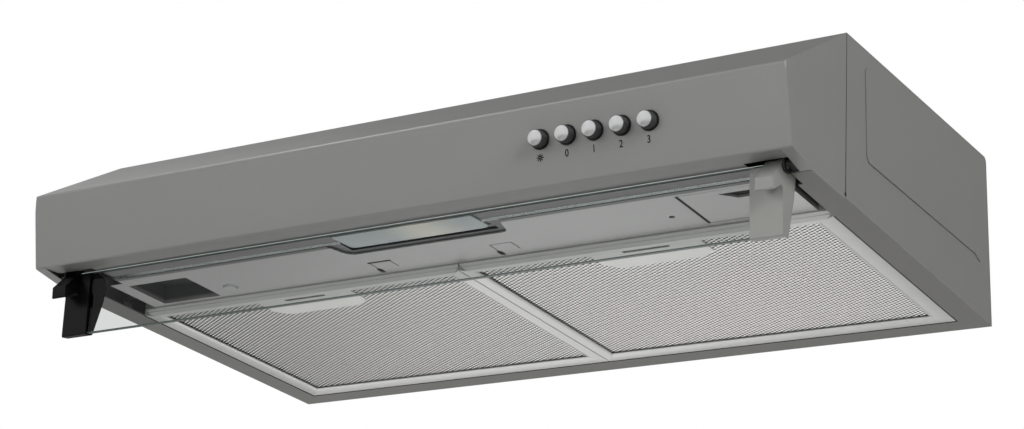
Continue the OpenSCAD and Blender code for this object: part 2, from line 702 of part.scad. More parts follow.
// A clearance hole for the collar through the sheets below it
module collar_bore(z, h) translate([0, collar_y, z]) cylinder(h = h, r = collar_r + 0.3);

module collar_screw_holes(z, h) for (a = [45 : 90 : 315]) translate([0, collar_y, z])
    rotate([0, 0, a]) translate([collar_r + 6, 0, 0]) cylinder(h = h, r = 1.6);

module outlet_collar() seat() color("black") difference() {
    union() {
        translate([0, collar_y, hood_h]) cylinder(h = 2, r = collar_flange_r);
        translate([0, collar_y, hood_h - sheet - scroll_wall]) cylinder(h = collar_h + sheet + scroll_wall, r = collar_r);
    }
    // The ledge on which the flaps close stays between the two cuts
    translate([0, collar_y, hood_h - cut_past]) cylinder(h = collar_h + 2 * cut_past, r = collar_in - 3);
    translate([0, collar_y, flap_z - flap_t / 2 - 0.3]) cylinder(h = collar_h, r = collar_in);
    translate([0, collar_y, hood_h - cut_past]) cylinder(h = flap_z - hood_h + cut_past - flap_t / 2 - 2.3, r = collar_in);
    collar_screw_holes(hood_h - 1, 6);
    translate([0, collar_y + collar_r, flap_z]) rotate([90, 0, 0]) cylinder(h = 2 * collar_r, r = flap_pin_r);
}

module collar_screws() seat() color("silver") for (a = [45 : 90 : 315]) translate([0, collar_y, hood_h])
    rotate([0, 0, a]) translate([collar_r + 6, 0, 0]) {
        translate([0, 0, 2]) cylinder(h = 1.8, r = 3);
        translate([0, 0, -sheet]) cylinder(h = sheet + 2 + eps, r = 1.6);
    }

module flap_pin() seat() color("silver") translate([0, collar_y + collar_r - 0.3, flap_z]) rotate([90, 0, 0])
    cylinder(h = 2 * collar_r - 0.6, r = flap_pin_r);

// Half-round flap on the right, with its knuckles on the pin
module flap_shape(knuckles) translate([0, collar_y, flap_z]) difference() {
    union() {
        intersection() {
            translate([0, 0, -flap_t / 2]) cylinder(h = flap_t, r = flap_r);
            translate([knuckle_r + 0.4, -collar_r, -5]) cube([collar_r, 2 * collar_r, 10]);
        }
        for (k = knuckles) {
            translate([0, k[0], -flap_t / 2]) cube([knuckle_r + 1, k[1] - k[0], flap_t]);
            translate([0, k[0], 0]) rotate([-90, 0, 0]) cylinder(h = k[1] - k[0], r = knuckle_r);
        }
    }
    translate([0, -collar_r, 0]) rotate([-90, 0, 0]) cylinder(h = 2 * collar_r, r = flap_pin_r + fit_gap);
}

module flap_left() seat() color("dimgray") mirror([1, 0, 0]) flap_shape(knuckles_left);
module flap_right() seat() color("dimgray") flap_shape(knuckles_right);

/* Electrics: junction box, capacitor and cable gland */

box_w = 80;
box_d = 80;
box_x = half_w - box_w - 24;
box_y = hood_d - box_d - 22;
box_h = 30;
box_wall = 2;
gland_x = box_x + box_w / 2;
gland_y = box_y + box_d / 2;
gland_r = 4;
gland_thread_r = 6;
cap_place = [130, 150];
capacitor_r = 15;
capacitor_h = 36;

module gland_hole(z, h) translate([gland_x, gland_y, z]) cylinder(h = h, r = gland_thread_r + 0.2);

module junction_box() seat() color("black") difference() {
    translate([box_x, box_y, top_under - box_h]) cube([box_w, box_d, box_h]);
    translate([box_x + box_wall, box_y + box_wall, top_under - box_h - 1])
        cube([box_w - 2 * box_wall, box_d - 2 * box_wall, box_h + 1 - box_wall]);
    gland_hole(top_under - cut_past, 2 * cut_past);
}

module junction_lid() seat() color("dimgray") {
    translate([box_x, box_y, top_under - box_h - 2]) cube([box_w, box_d, 2]);
    // Rim that locates the lid in the box
    difference() {
        translate([box_x + box_wall + 0.2, box_y + box_wall + 0.2, top_under - box_h - eps])
            cube([box_w - 2 * box_wall - 0.4, box_d - 2 * box_wall - 0.4, 3]);
        translate([box_x + box_wall + 2, box_y + box_wall + 2, top_under - box_h])
            cube([box_w - 2 * box_wall - 4, box_d - 2 * box_wall - 4, 4]);
    }
}

module terminal_block() seat() color("ivory") translate([box_x + 18, box_y + box_d - 24, top_under - box_wall - 16]) difference() {
    cube([44, 16, 16]);
    for (i = [0 : 4]) translate([4.5 + i * 8.75, -1, 5]) rotate([-90, 0, 0]) cylinder(h = 12, r = 1.8);
}

module capacitor() seat() color("whitesmoke") translate([cap_place[0], cap_place[1], top_under - capacitor_h])
    rotate_extrude() polygon([[0, 0], [capacitor_r - 1.5, 0], [capacitor_r, 1.5], [capacitor_r, capacitor_h], [0, capacitor_h]]);

module capacitor_clip() seat() color("lightgray") translate([cap_place[0], cap_place[1], top_under - 14]) difference() {
    union() {
        cylinder(h = 14, r = capacitor_r + 1.4);
        translate([-8, capacitor_r - 2, 12.6]) cube([16, 16, 1.4]);
    }
    translate([0, 0, -1]) cylinder(h = 16, r = capacitor_r + 0.1);
}

module cable_gland() seat() color("black") translate([gland_x, gland_y, 0]) difference() {
    union() {
        translate([0, 0, hood_h]) cylinder(h = 3, r = 10);
        translate([0, 0, hood_h + 3 - eps]) cylinder(h = 7, r1 = 8.5, r2 = 6.5);
        translate([0, 0, top_under - box_wall - 8]) cylinder(h = box_wall + 9 + sheet, r = gland_thread_r);
        // Lock nut inside the box
        translate([0, 0, top_under - box_wall - 5]) cylinder(h = 5, r = 9.5, $fn = 6);
    }
    translate([0, 0, hood_h - 30]) cylinder(h = 60, r = gland_r);
}

/* Filters: two cassettes, the right one drawn and the left one mirrored */

filter_x0 = filter_gap / 2;
filter_x1 = half_w - flange_w - filter_gap;
filter_y0 = panel_rear + filter_gap;
filter_y1 = hood_d - flange_w - filter_gap;
filter_mid = (filter_x0 + filter_x1) / 2;
// How far the mesh pad reaches into the frame members
mesh_hold = 5;
// Cavity of the latch in the mesh pad, and its rails
cavity_half = slot_w / 2 + 2.5;
rail_t = 2;
slot_y = filter_y0 + member_front + 2;
slot_h = 3;
latch_y = slot_y + 0.8;
bolt_half = 6;
bolt_z = panel_recess + sheet + 0.4;
bolt_t = 1.8;
latch_z = mesh_lift + 0.3;
latch_t = bolt_z + bolt_t - latch_z;
latch_d = 16;
latch_end_room = 0.5;
cavity_rear = latch_y + latch_d + latch_travel + latch_end_room + rail_t;
hook_tab_w = 20;
hook_tab_d = 6;
hook_tab_spread = 70;

module filter_frame() difference() {
    union() {
        translate([filter_x0, filter_y0, 0]) cube([filter_x1 - filter_x0, filter_y1 - filter_y0, filter_h]);
        // Hooks that lie over the rear flange
        for (s = [-1, 1]) translate([filter_mid + s * hook_tab_spread - hook_tab_w / 2, filter_y1 - 1, sheet + 0.3])
            cube([hook_tab_w, hook_tab_d + 1, 1.2]);
    }
    translate([filter_x0 + member_inner, filter_y0 + member_front, -1])
        cube([filter_x1 - filter_x0 - member_inner - member_outer, filter_y1 - filter_y0 - member_front - member_rear, filter_h + 2]);
    mesh_seat();
    translate([filter_mid - bolt_half - 0.3, filter_y0 - 1, bolt_z - 0.3]) cube([2 * bolt_half + 0.6, member_front + 2, bolt_t + 0.6]);
}

// The groove in the frame and the pad that fills it share this block
module mesh_seat() translate([filter_x0 + member_inner - mesh_hold, filter_y0 + member_front - mesh_hold, mesh_lift])
    cube([filter_x1 - filter_x0 - member_inner - member_outer + 2 * mesh_hold,
        filter_y1 - filter_y0 - member_front - member_rear + 2 * mesh_hold, mesh_t]);

module filter_mesh() difference() {
    mesh_seat();
    translate([filter_mid - cavity_half, filter_y0, mesh_lift - 1]) cube([2 * cavity_half, cavity_rear - filter_y0, mesh_t + 2]);
}

// Handle plate with clipped rear corners, finger slot and the rails of the latch
module filter_handle() {
    y0 = filter_y0 + member_front;
    difference() {
        translate([0, 0, mesh_lift - 1]) linear_extrude(1) difference() {
            polygon([[filter_mid - handle_w / 2, y0], [filter_mid + handle_w / 2, y0],
                [filter_mid + handle_w / 2, y0 + handle_d - 9], [filter_mid + handle_w / 2 - 10, y0 + handle_d],
                [filter_mid - handle_w / 2 + 10, y0 + handle_d], [filter_mid - handle_w / 2, y0 + handle_d - 9]]);
            polygon(round_rect([filter_mid - slot_w / 2, slot_y], [slot_w, slot_h], 1.4));
        }
        // Pressed groove behind the slot
        translate([filter_mid - slot_w / 2, slot_y + 11, mesh_lift - 1.5]) cube([slot_w, 1.4, 0.9]);
    }
    for (s = [-1, 1]) translate([filter_mid + s * (cavity_half - rail_t / 2) - rail_t / 2, y0, mesh_lift - eps])
        cube([rail_t, cavity_rear - y0, mesh_t]);
    translate([filter_mid - cavity_half, cavity_rear - rail_t, mesh_lift - eps]) cube([2 * cavity_half, rail_t, mesh_t]);
}

// Latch: pad behind the slot, neck through the front member, bolt flush in front of it
module filter_latch() {
    translate([filter_mid - cavity_half + rail_t + 0.3, latch_y, latch_z])
        cube([2 * (cavity_half - rail_t - 0.3), latch_d, latch_t]);
    translate([filter_mid - bolt_half, filter_y0 - 0.2, bolt_z]) cube([2 * bolt_half, slot_y + 2 - filter_y0, bolt_t]);
}

module filter_frame_left() seat() underside() color("gainsboro") on_side(-1) filter_frame();
module filter_frame_right() seat() underside() color("gainsboro") on_side(1) filter_frame();
module filter_mesh_left() seat() underside() color("silver") on_side(-1) filter_mesh();
module filter_mesh_right() seat() underside() color("silver") on_side(1) filter_mesh();
module filter_handle_left() seat() underside() color("lightgray") on_side(-1) filter_handle();
module filter_handle_right() seat() underside() color("lightgray") on_side(1) filter_handle();
module filter_latch_left() seat() underside() color("gray") on_side(-1) filter_latch();
module filter_latch_right() seat() underside() color("gray") on_side(1) filter_latch();

/* Visor: a glass pane between two hooked brackets on a pivot */

pivot_z = face_foot - pivot_drop;
glass_top = pivot_z + 2.4;
glass_low = glass_top - glass_h;
slot_in = 10;
ear_t = 1.5;
ear_x = bracket_out + 0.3;

// Side outline of the hooked part, measured from the pivot, counter-clockwise
hook_outline = [[-3.4, -45], [4.4, -44], [13, -17.1], [15.3, -5.3], [15.5, 3], [-0.9, 4.8],
    [-17.5, -11.4], [-17.2, -20.2], [-3.4, -11.7]];
hook_radii = [1, 2, 0, 0, 2, 1, 1.5, 1, 2];
// Side outline of the part that holds the glass
grip_outline = [[-3.4, -45], [4.4, -44], [13, -17.1], [15.3, -5.3], [13, 1], [4, 3], [-3.4, 0.8]];
grip_radii = [1, 2, 0, 0, 3, 3, 1.5];

module bracket_shape() difference() {
    union() {
        translate([0, pivot_d, pivot_z]) across_from(bracket_out - hook_w, bracket_out) polygon(rounded(hook_outline, hook_radii));
        translate([0, pivot_d, pivot_z]) across_from(bracket_in, bracket_out - hook_w + eps) polygon(rounded(grip_outline, grip_radii));
    }
    translate([bracket_in - 1, pivot_d - glass_t / 2, glass_low]) cube([slot_in + 1, glass_t, glass_h]);
    translate([bracket_out - hook_w + 1, pivot_d, pivot_z]) rotate([0, 90, 0]) cylinder(h = hook_w + 1, r = pivot_r + fit_gap);
}

module visor_glass() seat() color("lightcyan") translate([-bracket_in - slot_in, pivot_d - glass_t / 2, glass_low])
    cube([2 * (bracket_in + slot_in), glass_t, glass_h]);

module visor_bracket_left() seat() color("black") on_side(-1) bracket_shape();
module visor_bracket_right() seat() color("gray") on_side(1) bracket_shape();

// Height of the upper face of the cheek lip at depth y
function lip_top(y) = face_foot + (under_rise + kink_rise - face_foot) * (y - face_lean) / (kink_d - face_lean) + sheet * 1.02;

// Ear beside the bracket, with a foot on the cheek lip
module hinge_shape() difference() {
    union() {
        across_from(ear_x, ear_x + ear_t) polygon(rounded([[pivot_d - 5, pivot_z - 4], [pivot_d + 5, pivot_z - 4],
            [pivot_d + 8, pivot_z + 10], [pivot_d - 5, pivot_z + 10]], [3, 3, 2, 2]));
        across_from(ear_x + ear_t - eps, half_w - 4) polygon([[pivot_d - 3, lip_top(pivot_d - 3)], [pivot_d + 8, lip_top(pivot_d + 8)],
            [pivot_d + 8, lip_top(pivot_d + 8) + ear_t], [pivot_d - 3, lip_top(pivot_d - 3) + ear_t]]);
    }
    translate([ear_x - 1, pivot_d, pivot_z]) rotate([0, 90, 0]) cylinder(h = ear_t + 1, r = pivot_r);
}

module visor_hinge_left() seat() color("black") on_side(-1) hinge_shape();
module visor_hinge_right() seat() color("black") on_side(1) hinge_shape();

module visor_pins() seat() color("silver") both_sides() translate([bracket_out - hook_w + 1.5, pivot_d, pivot_z])
    rotate([0, 90, 0]) cylinder(h = hook_w - 1.5 + 0.3 + ear_t, r = pivot_r);

canopy();
fascia();
lamp_panel();
terminal_cover();
panel_screw();
lamp_housing();
lamp_lens();
lamp_holder();
lamp_bulb();
button_light();
button_stop();
button_speed_1();
button_speed_2();
button_speed_3();
button_guide();
switch_block();
fan_scroll();
scroll_cover();
scroll_screws();
impeller();
motor_shaft();
motor();
motor_bracket();
motor_bushes();
outlet_collar();
collar_screws();
flap_pin();
flap_left();
flap_right();
junction_box();
junction_lid();
terminal_block();
capacitor();
capacitor_clip();
cable_gland();
filter_frame_left();
filter_frame_right();
filter_mesh_left();
filter_mesh_right();
filter_handle_left();
filter_handle_right();
filter_latch_left();
filter_latch_right();
visor_glass();
visor_bracket_left();
visor_bracket_right();
visor_hinge_left();
visor_hinge_right();
visor_pins();
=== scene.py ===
import json
import math
import bmesh
import bpy
import numpy as np
from mathutils import Matrix, Vector


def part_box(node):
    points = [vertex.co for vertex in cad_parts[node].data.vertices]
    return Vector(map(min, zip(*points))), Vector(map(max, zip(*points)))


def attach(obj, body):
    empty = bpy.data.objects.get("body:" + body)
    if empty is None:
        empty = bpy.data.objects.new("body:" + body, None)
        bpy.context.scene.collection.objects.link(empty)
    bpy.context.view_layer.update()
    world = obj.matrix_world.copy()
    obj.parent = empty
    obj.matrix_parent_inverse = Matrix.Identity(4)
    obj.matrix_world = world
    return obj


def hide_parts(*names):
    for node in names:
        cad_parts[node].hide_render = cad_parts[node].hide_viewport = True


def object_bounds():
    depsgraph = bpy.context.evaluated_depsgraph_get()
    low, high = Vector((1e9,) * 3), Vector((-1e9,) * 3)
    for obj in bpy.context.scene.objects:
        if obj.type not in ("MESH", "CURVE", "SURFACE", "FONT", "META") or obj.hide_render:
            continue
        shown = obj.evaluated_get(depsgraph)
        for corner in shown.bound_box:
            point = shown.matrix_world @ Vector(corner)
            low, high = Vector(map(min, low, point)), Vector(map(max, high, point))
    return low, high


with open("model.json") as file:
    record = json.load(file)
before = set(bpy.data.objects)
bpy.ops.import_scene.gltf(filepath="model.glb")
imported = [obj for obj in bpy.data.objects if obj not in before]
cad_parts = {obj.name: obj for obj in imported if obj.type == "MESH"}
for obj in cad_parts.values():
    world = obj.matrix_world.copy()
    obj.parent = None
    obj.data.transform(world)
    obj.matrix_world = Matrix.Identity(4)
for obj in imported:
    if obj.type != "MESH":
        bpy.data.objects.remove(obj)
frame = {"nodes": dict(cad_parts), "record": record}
cad_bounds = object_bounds()

# Camera: a long lens below and to the right of the hood, looking up at its
# front and underside. The place is in metres and the turns are in degrees.
CAMERA_PLACE = (0.81069, -1.37111, -0.57008)
CAMERA_YAW, CAMERA_PITCH, CAMERA_ROLL = 31.38, 18.37, 1.98
FOCAL_PIXELS, IMAGE_WIDTH, SENSOR_WIDTH = 2249.26, 1024, 36.0

scene = bpy.context.scene
camera = bpy.data.objects.new("camera", bpy.data.cameras.new("camera"))
camera.data.sensor_width = SENSOR_WIDTH
camera.data.lens = FOCAL_PIXELS / IMAGE_WIDTH * SENSOR_WIDTH
camera.matrix_world = (Matrix.Translation(CAMERA_PLACE)
                       @ Matrix.Rotation(math.radians(CAMERA_YAW), 4, "Z")
                       @ Matrix.Rotation(math.radians(90 + CAMERA_PITCH), 4, "X")
                       @ Matrix.Rotation(math.radians(CAMERA_ROLL), 4, "Z"))
scene.collection.objects.link(camera)
scene.camera = camera
scene.view_settings.view_transform = "Standard"

# Studio: the world is plain white to the camera. As light it is weaker, and to
# a shiny face it is bright towards the front left and dark towards the wall.
# Soft lamps stand round the hood. Some light its matt colour, others its shine.
WORLD_LIGHT, GLOSS_DARK, GLOSS_BRIGHT = 0.30, 0.10, 0.90
# The way to the bright side, and the cosines to it between which the world brightens
GLOSS_WAY, GLOSS_FROM, GLOSS_TO = (-0.45, -0.88, 0.1), -0.25, 1.0
# Name, place and size in metres, watts, lights the matt colour, makes the shine
LAMPS = [("front", (-0.9, -2.6, 0.1), (1.7, 1.7), 27, True, False),
         ("right", (2.3, -1.1, 0.9), (1.2, 1.2), 45, True, False),
         ("corner", (1.92, -1.19, 0.58), (0.5, 0.5), 32, False, True),
         ("above", (-1.1, -0.3, 1.7), (2.0, 0.45), 12, False, True),
         ("left", (-1.7, 0.76, 1.1), (0.5, 0.5), 0.4, False, True),
         ("below", (-0.8, 0.7, -1.25), (1.3, 1.0), 4.2, True, True),
         ("behind", (-0.85, 2.2, -1.0), (1.6, 0.9), 2.6, False, True),
         ("back", (-0.6, 2.4, 1.3), (1.8, 1.8), 26, True, False)]


def linear(code, alpha=1.0):
    """An sRGB hex value as linear colour: each channel goes through the sRGB curve backwards."""
    value = np.array([int(code[k:k + 2], 16) for k in (1, 3, 5)]) / 255
    curve = np.where(value <= 0.04045, value / 12.92, ((value + 0.055) / 1.055) ** 2.4)
    return (*curve.tolist(), alpha)


def add_node(tree, kind, inputs=None, **settings):
    """Adds a node. Settings are its properties, and inputs are values or (node, output) pairs."""
    made = tree.nodes.new(kind)
    for name, value in settings.items():
        setattr(made, name, value)
    for name, value in (inputs or {}).items():
        if isinstance(value, tuple) and isinstance(value[0], bpy.types.Node):
            tree.links.new(value[0].outputs[value[1]], made.inputs[name])
        else:
            made.inputs[name].default_value = value
    return made


def new_material(name):
    """An empty material. Returns it and its node tree."""
    made = bpy.data.materials.new(name)
    made.use_nodes = True
    made.node_tree.nodes.clear()
    return made, made.node_tree


world = bpy.data.worlds.new("studio")
world.use_nodes = True
scene.world = world
tree = world.node_tree
tree.nodes.clear()
path = add_node(tree, "ShaderNodeLightPath")
where = add_node(tree, "ShaderNodeTexCoord")
toward = add_node(tree, "ShaderNodeVectorMath", {0: (where, "Generated"), 1: GLOSS_WAY},
                  operation="DOT_PRODUCT")
shine = add_node(tree, "ShaderNodeMapRange", {
    "Value": (toward, "Value"), "From Min": GLOSS_FROM, "From Max": GLOSS_TO,
    "To Min": GLOSS_DARK, "To Max": GLOSS_BRIGHT}, interpolation_type="SMOOTHSTEP")
soft = add_node(tree, "ShaderNodeMapRange", {
    "Value": (path, "Is Glossy Ray"), "To Min": WORLD_LIGHT, "To Max": (shine, 0)})
strength = add_node(tree, "ShaderNodeMath", {0: (soft, 0), 1: (path, "Is Camera Ray")},
                    operation="MAXIMUM")
sky = add_node(tree, "ShaderNodeBackground", {"Color": linear("#FFFFFF"), "Strength": (strength, 0)})
add_node(tree, "ShaderNodeOutputWorld", {"Surface": (sky, 0)})

for name, spot, size, watts, matt_light, shine_light in LAMPS:
    lamp = bpy.data.objects.new("lamp_" + name, bpy.data.lights.new("lamp_" + name, "AREA"))
    lamp.data.shape = "RECTANGLE"
    lamp.data.size, lamp.data.size_y = size
    lamp.data.energy = watts
    lamp.location = spot
    lamp.visible_camera = False
    lamp.visible_diffuse, lamp.visible_glossy = matt_light, shine_light
    lamp.rotation_mode = "QUATERNION"
    lamp.rotation_quaternion = Vector(spot).to_track_quat("Z", "Y")
    scene.collection.objects.link(lamp)

# Floor: pale and matt. It looks lighter to the camera than it is as a reflector,
# and its lower side lets the view through, so the hood shows from below as well.
FLOOR_DROP, FLOOR_SIZE, FLOOR_LIFT = 1.4, 12.0, 0.5
floor_material, tree = new_material("pale_floor")
path = add_node(tree, "ShaderNodeLightPath")
lift = add_node(tree, "ShaderNodeMath", {0: (path, "Is Camera Ray"), 1: FLOOR_LIFT},
                operation="MULTIPLY")
matt = add_node(tree, "ShaderNodeBsdfPrincipled", {
    "Base Color": linear("#F4F3F1"), "Roughness": 0.9, "Emission Color": linear("#FFFFFF"),
    "Emission Strength": (lift, 0)})
clear = add_node(tree, "ShaderNodeBsdfTransparent")
facing = add_node(tree, "ShaderNodeNewGeometry")
floor_mix = add_node(tree, "ShaderNodeMixShader", {
    0: (facing, "Backfacing"), 1: (matt, 0), 2: (clear, 0)})
add_node(tree, "ShaderNodeOutputMaterial", {"Surface": (floor_mix, 0)})
floor_mesh = bpy.data.meshes.new("floor")
half = FLOOR_SIZE / 2
floor_z = cad_bounds[0].z - FLOOR_DROP
floor_mesh.from_pydata([(-half, -half, floor_z), (half, -half, floor_z), (half, half, floor_z),
                        (-half, half, floor_z)], [], [(0, 1, 2, 3)])
floor_mesh.materials.append(floor_material)
floor = bpy.data.objects.new("floor", floor_mesh)
scene.collection.objects.link(floor)

# Body: deep-drawn and folded steel sheet, 1 mm thick, with a baked satin enamel.
# The enamel gives a faint orange peel and a soft highlight along each bend.
MM_PER_M = 1000
# Lengths from here on are millimetres of the layout, unless a comment says metres
HOOD_HALF, HOOD_DEPTH, HOOD_HEIGHT = 300.0, 352.0, 128.0
SEAM_DEPTH, SEAM_RISE = 85.0, 14.5
# Where the layout's zero point lies in the frame, in metres
CORNER = (np.array(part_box("canopy")[1]) * (0, 1, 1)
          - np.array([0, HOOD_DEPTH, HOOD_HEIGHT]) / MM_PER_M)
UNDER_TILT = math.atan2(SEAM_RISE, HOOD_DEPTH - SEAM_DEPTH)
UNDER_NORMAL = (0, math.sin(UNDER_TILT), math.cos(UNDER_TILT))
# Most values of a noise lie between these two
NOISE_LOW, NOISE_HIGH = 0.25, 0.75
# Depth of a grain's relief as a share of the grain's length
GRAIN_DEPTH = 0.1
# Sockets of a node that mixes colours: the two colours, and the result
FIRST_COLOUR, SECOND_COLOUR, MIXED_COLOUR = 6, 7, 2
# Corners are merged by their places to this many decimals of a metre
MERGE_DIGITS = 6
# Edges between faces that differ by less than this are dissolved
FLAT_ANGLE = math.radians(0.5)


def place(points):
    """Layout millimetres (x, depth behind the front, height above the rear foot) as metres of the
    frame: divided by 1000 and moved by the corner."""
    return np.asarray(points, float) / MM_PER_M + CORNER


def underside(points):
    """Points of the tilted underside (x, depth, height above the flanges) as layout millimetres:
    turned by the tilt about the rear bottom edge."""
    x, y, z = np.moveaxis(np.asarray(points, float), -1, 0)
    cos, sin = math.cos(UNDER_TILT), math.sin(UNDER_TILT)
    depth = y - HOOD_DEPTH
    return np.stack([x, HOOD_DEPTH + depth * cos + z * sin, z * cos - depth * sin], -1)


def finish(name, colours, rough, metallic=0.0, spot=8.0, grain=0.5, bump=0.2, stretch=(1, 1, 1),
           specular=0.5, glow=0.0):
    """A solid material: two close colours in soft spots, and a fine grain that varies the roughness
    and the relief. Spot and grain are lengths in mm, and stretch draws the grain out along an axis.
    Real grains that are finer are drawn at 0.3 mm or more, so that they show. Glow is painted
    light: the colour given off as light of its own, as a share of full white."""
    made, tree = new_material(name)
    where = add_node(tree, "ShaderNodeTexCoord")
    drawn = add_node(tree, "ShaderNodeMapping", {"Vector": (where, "Object"), "Scale": stretch})
    spots = add_node(tree, "ShaderNodeTexNoise", {
        "Vector": (where, "Object"), "Scale": MM_PER_M / spot, "Detail": 3.0})
    fine = add_node(tree, "ShaderNodeTexNoise", {
        "Vector": (drawn, 0), "Scale": MM_PER_M / grain, "Detail": 2.0})
    colour = add_node(tree, "ShaderNodeMix", {
        0: (spots, 0), FIRST_COLOUR: linear(colours[0]), SECOND_COLOUR: linear(colours[1])},
        data_type="RGBA")
    gloss = add_node(tree, "ShaderNodeMapRange", {
        "Value": (fine, 0), "From Min": NOISE_LOW, "From Max": NOISE_HIGH,
        "To Min": rough[0], "To Max": rough[1]})
    relief = add_node(tree, "ShaderNodeBump", {
        "Height": (fine, 0), "Strength": bump, "Distance": GRAIN_DEPTH * grain / MM_PER_M})
    shader = add_node(tree, "ShaderNodeBsdfPrincipled", {
        "Base Color": (colour, MIXED_COLOUR), "Roughness": (gloss, 0), "Metallic": metallic,
        "Normal": (relief, 0), "Specular IOR Level": specular,
        "Emission Color": (colour, MIXED_COLOUR), "Emission Strength": glow})
    add_node(tree, "ShaderNodeOutputMaterial", {"Surface": (shader, 0)})
    return made


def clean_mesh(name, source):
    """A CAD node's loose triangles as one surface whose edges can be softened: corners at the same
    place become one, triangles with fewer than three of them go, and flat faces are joined."""
    mesh = source.data
    mesh.calc_loop_triangles()
    corners = np.empty(len(mesh.vertices) * 3, np.float32)
    mesh.vertices.foreach_get("co", corners)
    triangles = np.empty(len(mesh.loop_triangles) * 3, np.int32)
    mesh.loop_triangles.foreach_get("vertices", triangles)
    corners = np.round(corners.reshape(-1, 3).astype(float), MERGE_DIGITS)
    unique, inverse = np.unique(corners, axis=0, return_inverse=True)
    triangles = inverse.reshape(-1)[triangles].reshape(-1, 3)
    whole = (triangles != np.roll(triangles, 1, axis=1)).all(axis=1)
    made = bpy.data.meshes.new(name)
    made.from_pydata(unique.tolist(), [], triangles[whole].tolist())
    work = bmesh.new()
    work.from_mesh(made)
    bmesh.ops.dissolve_limit(work, angle_limit=FLAT_ANGLE, verts=work.verts, edges=work.edges,
                             delimit=set())
    work.to_mesh(made)
    work.free()
    return made


def put(piece, body, material, smooth=32.0, edge=0.0, segments=2):
    """Gives a piece its material, soft edges (mm) and smooth shading below an angle (degrees), and
    lets it ride on a body."""
    piece.data.materials.clear()
    piece.data.materials.append(material)
    piece.data.shade_smooth()
    piece.data.set_sharp_from_angle(angle=math.radians(smooth))
    if edge:
        soft_edge = piece.modifiers.new("soft_edges", "BEVEL")
        soft_edge.width = edge / MM_PER_M
        soft_edge.segments = segments
        soft_edge.limit_method = "ANGLE"
        soft_edge.angle_limit = math.radians(smooth)
        soft_edge.harden_normals = True
    scene.collection.objects.link(piece)
    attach(piece, body)
    return piece


body_of = {n: b for b, nodes in frame["record"]["behaviour"]["bodies"].items() for n in nodes}


def dressed(node, material, edge=0.25, smooth=32.0, segments=2):
    """A copy of a CAD node with soft edges, which stands for that node."""
    name = node + "_dressed"
    copy = bpy.data.objects.new(name, clean_mesh(name, frame["nodes"][node]))
    put(copy, body_of[node], material, smooth, edge, segments)
    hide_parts(node)
    return copy


# Baked enamel, sprayed: satin and nearly without shine, with an orange peel of about 1 mm
body_enamel = finish("satin_enamel_on_steel_body", ("#797977", "#7D7D7B"), (0.62, 0.68),
                     spot=60, grain=0.9, bump=0.12, specular=0.12)
dressed("canopy", body_enamel)

# Fascia: the folded front cover, enamelled a shade lighter than the body. Its
# bends catch a thin line of light along the top and at both front corners.
# The same enamel on a flatter sheet: smoother, so that it takes a broad soft shine
front_enamel = finish("satin_enamel_on_steel_front", ("#7C7C7B", "#80807F"), (0.38, 0.44),
                      spot=90, grain=0.9, bump=0.12, specular=0.4)
dressed("fascia", front_enamel, edge=0.35)

# Side joints: the fascia meets the body in a thin dark line down each side,
# with a small round relief just above its foot.
HANDS = ((1, "right"), (-1, "left"))
SEAM_FOOT, SEAM_TOP = (85.0, 15.2), (90.9, 127.0)
SEAM_WIDE, SEAM_PROUD, SEAM_SUNK = 0.6, 0.12, 0.2
RELIEF_RADIUS, RELIEF_RISE, RELIEF_CORNERS = 1.4, 1.68, 12
# Small flat-sided pieces keep each edge crisp that turns by more than this, in degrees
CRISP = 20


def ring_faces(size, rings=2, start=0):
    """Faces of a closed body made of rings of points, one ring after another: a four-cornered side
    between each two neighbours of one ring and the same two of the next, and the two ends."""
    index = np.arange(rings * size).reshape(rings, size) + start
    index = np.hstack([index, index[:, :1]])
    sides = np.stack([index[:-1, :-1], index[:-1, 1:], index[1:, 1:], index[1:, :-1]], -1)
    return sides.reshape(-1, 4).tolist() + [index[0, :-1].tolist(), index[-1, :-1].tolist()]


def new_piece(name, points, faces):
    """A mesh object from points in metres and its faces, with its normals turned outwards."""
    mesh = bpy.data.meshes.new(name)
    mesh.from_pydata(np.asarray(points).reshape(-1, 3).tolist(), [], faces)
    work = bmesh.new()
    work.from_mesh(mesh)
    bmesh.ops.recalc_face_normals(work, faces=work.faces)
    work.to_mesh(mesh)
    work.free()
    return bpy.data.objects.new(name, mesh)


def swept(outline, ends, axis):
    """The points of a straight bar: a flat outline, of two coordinates, at each of the ends, whose
    place along the axis is put in as the third coordinate."""
    return np.stack([np.insert(np.asarray(outline, float), axis, end, axis=1) for end in ends])


# The open joint lies in its own shade: dull and almost black
seam_dark = finish("dark_joint_between_sheets", ("#2B2B2A", "#323231"), (0.6, 0.7),
                   spot=10, grain=0.5, specular=0.2)
across = np.array([SEAM_WIDE / 2, 0])
angle = np.linspace(0, 2 * math.pi, RELIEF_CORNERS, endpoint=False)
seam_outlines = {
    "gap": [SEAM_FOOT - across, SEAM_FOOT + across, SEAM_TOP + across, SEAM_TOP - across],
    "relief": np.stack([SEAM_FOOT[0] + RELIEF_RADIUS * np.cos(angle),
                        SEAM_FOOT[1] + RELIEF_RISE + RELIEF_RADIUS * np.sin(angle)], -1)}
for side, hand in HANDS:
    for what, outline in seam_outlines.items():
        ends = (side * (HOOD_HALF - SEAM_SUNK), side * (HOOD_HALF + SEAM_PROUD))
        joint = new_piece("seam_%s_%s" % (what, hand), place(swept(outline, ends, 0)),
                          ring_faces(len(outline)))
        put(joint, "root", seam_dark, smooth=CRISP)

# Flange lip: the flange under the front ends in a bare sheared edge, turned down
# a little, that shines as a thin light line to both sides of the lamp.
LIP_DEPTH, LIP_LOW, LIP_HIGH, LIP_THICK, LIP_SLOPE = 48.5, 22.0, 23.5, 0.3, 0.9
LIP_FROM, LIP_TO = 57.0, 259.0
